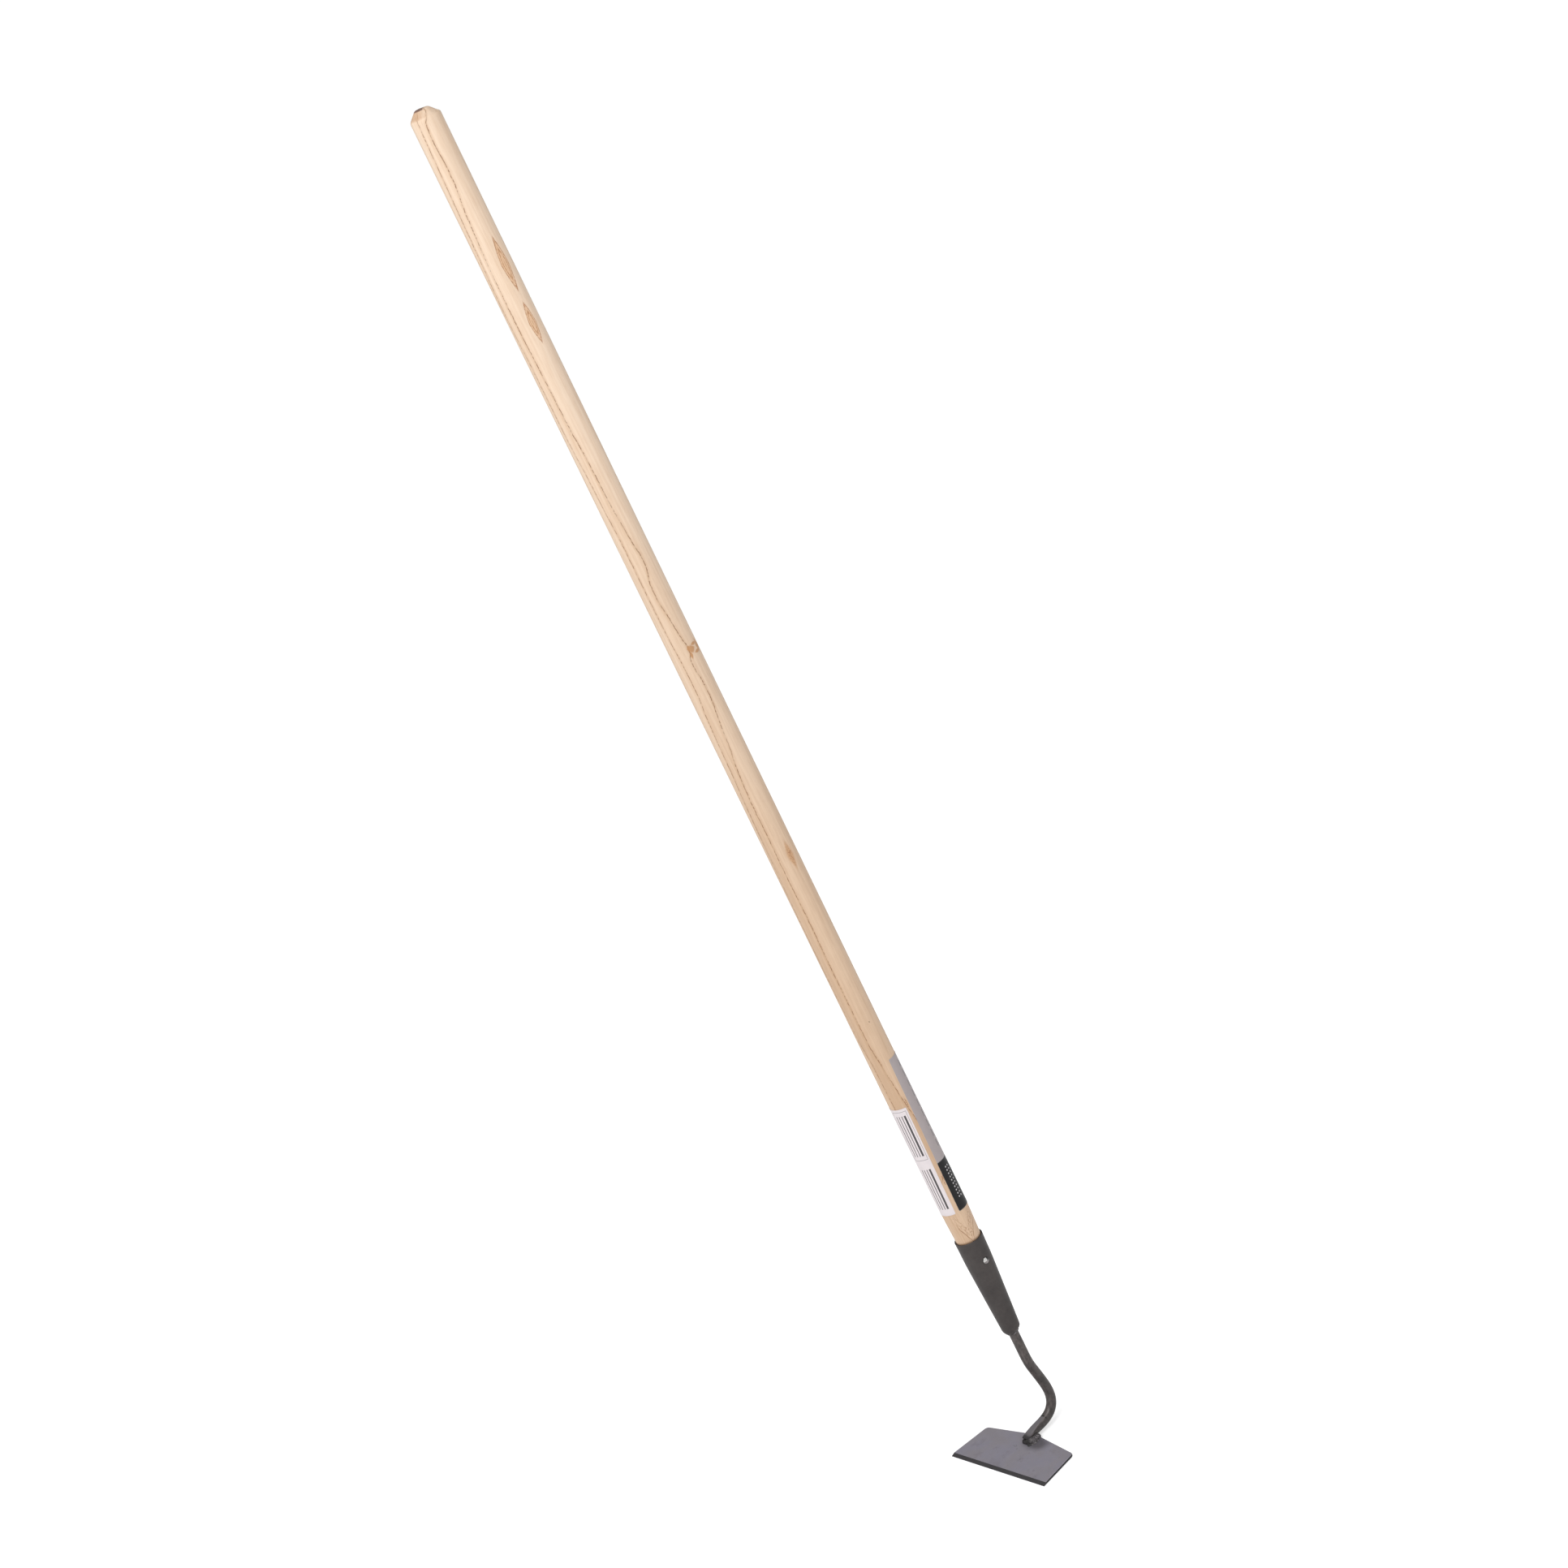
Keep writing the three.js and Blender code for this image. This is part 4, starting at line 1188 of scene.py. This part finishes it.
# ------------------------------------------------------------------ labels
def build_label(name, az0, az1, z0, z1, corner, seed, round_bottom=True, round_top=True):
    """A thin curved film with rounded corners; azimuths in degrees at WHITE_MID."""
    rows = int((z1 - z0) / 1.3)
    columns = int(abs(az1 - az0) / 1.5)
    inner_r = HANDLE_R + LABEL_GAP
    outside, inside = [], []
    for z in np.linspace(z0, z1, rows + 1):
        cut = 0.0
        for end_z, rounded in ((z0, round_bottom), (z1, round_top)):
            from_end = abs(z - end_z)
            if rounded and from_end < corner:
                depth = math.sqrt(max(0.0, corner ** 2 - (corner - from_end) ** 2))
                cut = max(cut, corner - depth)
        trim = math.degrees(cut / HANDLE_R)
        skew = LABEL_SKEW * (z - WHITE_MID)
        angles = np.radians(np.linspace(az0 + skew + trim, az1 + skew - trim, columns + 1))
        # slight bubbles under the film
        bubbles = np.maximum(
            0.0, noise_round(angles, 2.2, z / 22.0, octaves=2, shift=(seed, 0.0)))
        outside.append(polar(inner_r + LABEL_THICK + 0.10 * bubbles, angles, z))
        inside.append(polar(inner_r, angles, z))
    width = columns + 1
    back = len(outside) * width                  # index of the first inside vertex
    faces = []
    for i in range(rows):
        for j in range(columns):
            a, b = i * width + j, (i + 1) * width + j
            quad = (a, a + 1, b + 1, b)
            faces.append(quad)
            faces.append(tuple(back + k for k in reversed(quad)))
    borders = [(i * width + j, (i + 1) * width + j) for i in range(rows) for j in (0, columns)]
    borders += [(i * width + j, i * width + j + 1) for j in range(columns) for i in (0, rows)]
    faces += [(a, b, back + b, back + a) for a, b in borders]
    return weight_normals(make_object(name, np.concatenate(outside + inside), faces))


def rules(first_arc, pitch, count, top, bottom, heavy=1.0, thin=0.42):
    """An even block of unbroken rules, the first one heavier."""
    return [(first_arc - pitch * i, thin if i else heavy, top, bottom) for i in range(count)]


def dashes(arc, half, top, bottom, length, pitch):
    """Equal dashes at an equal pitch, downwards from top."""
    return [(arc, half, top - pitch * i, top - pitch * i - length)
            for i in range(int((top - bottom) / pitch))]


# ------------------------------------------------------------------ assemble
def dress(ob, material, node):
    ob.data.materials.clear()
    ob.data.materials.append(material)
    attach(ob, "root")
    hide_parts(node)


for build, make_material, node_name, slot_name in (
        (build_handle, wood_material, "handle", "ash_wood"),
        (build_socket, dark_steel, "socket", "dark_steel"),
        (build_rivet, rivet_steel, "socket_rivet", "bright_rivet"),
        (build_bar, bar_steel, "gooseneck_rod", "dark_steel"),
        (build_blade, blade_steel, "blade", "blade_steel"),
        (build_blade_weld, weld_steel, "blade_weld", "weld_metal"),
        (build_socket_weld, weld_steel, "socket_weld", "weld_metal")):
    dress(build(), make_material(), node_name)

# the white label is split at half its height into two blocks of the same even rules,
# with thin lines round the upper one
white_bars = (
    rules(first_arc=-5.0, pitch=3.2, count=4, top=WHITE_TOP - 8.0, bottom=WHITE_MID + 8.0)
    + rules(first_arc=-5.0, pitch=3.2, count=4, top=WHITE_MID - 8.0, bottom=WHITE_BOTTOM + 8.0))
white_lines = [
    (-2.0, 0.20, WHITE_TOP - 3.0, WHITE_MID + 3.0),
    (-18.0, 0.20, WHITE_TOP - 3.0, WHITE_MID + 3.0),
    (-10.0, 8.0, WHITE_TOP - 3.0, WHITE_TOP - 3.5),
    (-10.0, 8.0, WHITE_MID + 3.5, WHITE_MID + 3.0)]
grey_bars = dashes(arc=16.5, half=0.55, top=214.0, bottom=106.0, length=8.0, pitch=12.0)
black_bars = [dash for arc in (12.0, 15.5)
              for dash in dashes(arc, half=0.70, top=88.0, bottom=48.0, length=1.6, pitch=4.0)]
white = label_material("label_white_film", ground=(234, 225, 226), bars=white_bars,
                       ink=(58, 56, 58), rough=0.40, lines=white_lines,
                       line_ink=(120, 117, 120))
grey = label_material("label_grey_film", ground=(176, 166, 166), bars=grey_bars,
                      ink=(96, 92, 94), rough=0.42)
black = label_material("label_black_film", ground=(19, 18, 19), bars=black_bars,
                       ink=(214, 210, 212), rough=0.42)

dress(build_label("label_white_wrap", az0=-82.0, az1=59.9, z0=WHITE_BOTTOM, z1=WHITE_TOP,
                  corner=0.35, seed=1.0),
      white, "label_white")
dress(build_label("label_grey_wrap", az0=77.8, az1=233.0, z0=96.35, z1=221.0,
                  corner=0.4, seed=2.0, round_bottom=False),
      grey, "label_grey")
dress(build_label("label_black_wrap", az0=77.4, az1=233.4, z0=37.5, z1=96.3,
                  corner=0.5, seed=3.0, round_top=False),
      black, "label_black_band")


# ------------------------------------------------------------------ stage, in metres
def build_floor():
    """Pale floor that glows a little, more so to the camera."""
    bpy.ops.mesh.primitive_plane_add(size=1.0, location=(0, 0, -0.0006))
    floor = bpy.context.active_object
    floor.name = "floor"
    floor.scale = (80, 80, 1)
    shader = Shader("pale_floor")
    clouds = shader.noise(shader.object_mm(), scale=0.02, detail=2.0)
    shader.color = shader.mix(clouds, (0.86, 0.86, 0.86, 1), (0.9, 0.9, 0.9, 1))
    camera_ray = Signal(shader, shader.node("ShaderNodeLightPath").outputs["Is Camera Ray"])
    floor.data.materials.append(shader.finish(
        rough=0.85, Emission_Color=(1, 1, 1, 1),
        Emission_Strength=camera_ray.times_plus(0.29, 0.22)))


def build_world():
    """White backdrop; its soft light is brighter on the camera's left, dimmer on its right."""
    world = bpy.data.worlds.new("studio")
    bpy.context.scene.world = world
    world.use_nodes = True
    nodes, link = world.node_tree.nodes, world.node_tree.links.new
    nodes.clear()
    output = nodes.new("ShaderNodeOutputWorld")
    mix = nodes.new("ShaderNodeMixShader")
    seen = nodes.new("ShaderNodeBackground")
    lighting = nodes.new("ShaderNodeBackground")
    light_path = nodes.new("ShaderNodeLightPath")
    coordinates = nodes.new("ShaderNodeTexCoord")
    towards = nodes.new("ShaderNodeVectorMath")
    towards.operation = "DOT_PRODUCT"
    towards.inputs[1].default_value = (0.773, 0.30, 0.56)    # the brightest direction
    strength = nodes.new("ShaderNodeMapRange")
    strength.interpolation_type = "SMOOTHSTEP"
    # from min, from max, dimmest, brightest
    for index, value in enumerate((-0.75, 0.85, 0.20, 0.98), start=1):
        strength.inputs[index].default_value = value
    seen.inputs["Color"].default_value = (1, 1, 1, 1)
    seen.inputs["Strength"].default_value = 1.05
    link(coordinates.outputs["Generated"], towards.inputs[0])
    link(towards.outputs["Value"], strength.inputs[0])
    link(strength.outputs[0], lighting.inputs["Strength"])
    link(light_path.outputs["Is Camera Ray"], mix.inputs[0])
    link(lighting.outputs[0], mix.inputs[1])
    link(seen.outputs[0], mix.inputs[2])
    link(mix.outputs[0], output.inputs[0])


# The camera's axes in the world, and its place
RIGHT = Vector((-0.71545872, 0.56431604, -0.4119056))
UP = Vector((-0.5149805, -0.0275437, 0.85675926))
BACK = Vector((0.47213759, 0.82509923, 0.31031814))
CAMERA_AT = Vector((AX + 1463.4, 2619.9, RIM + 1504.5)) * MM


def add_area_light(name, location, target, size, power):
    light = bpy.data.lights.new(name, "AREA")
    light.shape = "DISK"
    light.size = size
    light.energy = power
    ob = bpy.data.objects.new(name, light)
    ob.location = location
    ob.rotation_mode = "QUATERNION"
    ob.rotation_quaternion = (target - location).to_track_quat("-Z", "Y")
    bpy.context.scene.collection.objects.link(ob)


def add_camera():
    camera = bpy.data.cameras.new("camera")
    camera.sensor_fit = "HORIZONTAL"
    camera.sensor_width = 36.0
    camera.lens = 74.5341615
    camera.clip_start = 0.05
    camera.clip_end = 200.0
    ob = bpy.data.objects.new("camera", camera)
    rows = [tuple(row) for row in zip(RIGHT, UP, BACK, CAMERA_AT)]
    ob.matrix_world = Matrix(rows + [(0, 0, 0, 1)])
    bpy.context.scene.collection.objects.link(ob)
    bpy.context.scene.camera = ob


build_floor()
build_world()
middle_of_tool = Vector((AX * MM, 0, 0.7))
add_area_light("key", middle_of_tool - RIGHT * 1.1 + Vector((0, 0, 1.5)) + BACK * 2.2,
               middle_of_tool, size=1.8, power=36.0)
add_area_light("fill", middle_of_tool + RIGHT * 2.2 + Vector((0, 0, 0.7)) + BACK * 1.6,
               middle_of_tool, size=2.2, power=3.0)
add_camera()
bpy.context.scene.view_settings.view_transform = "Standard"
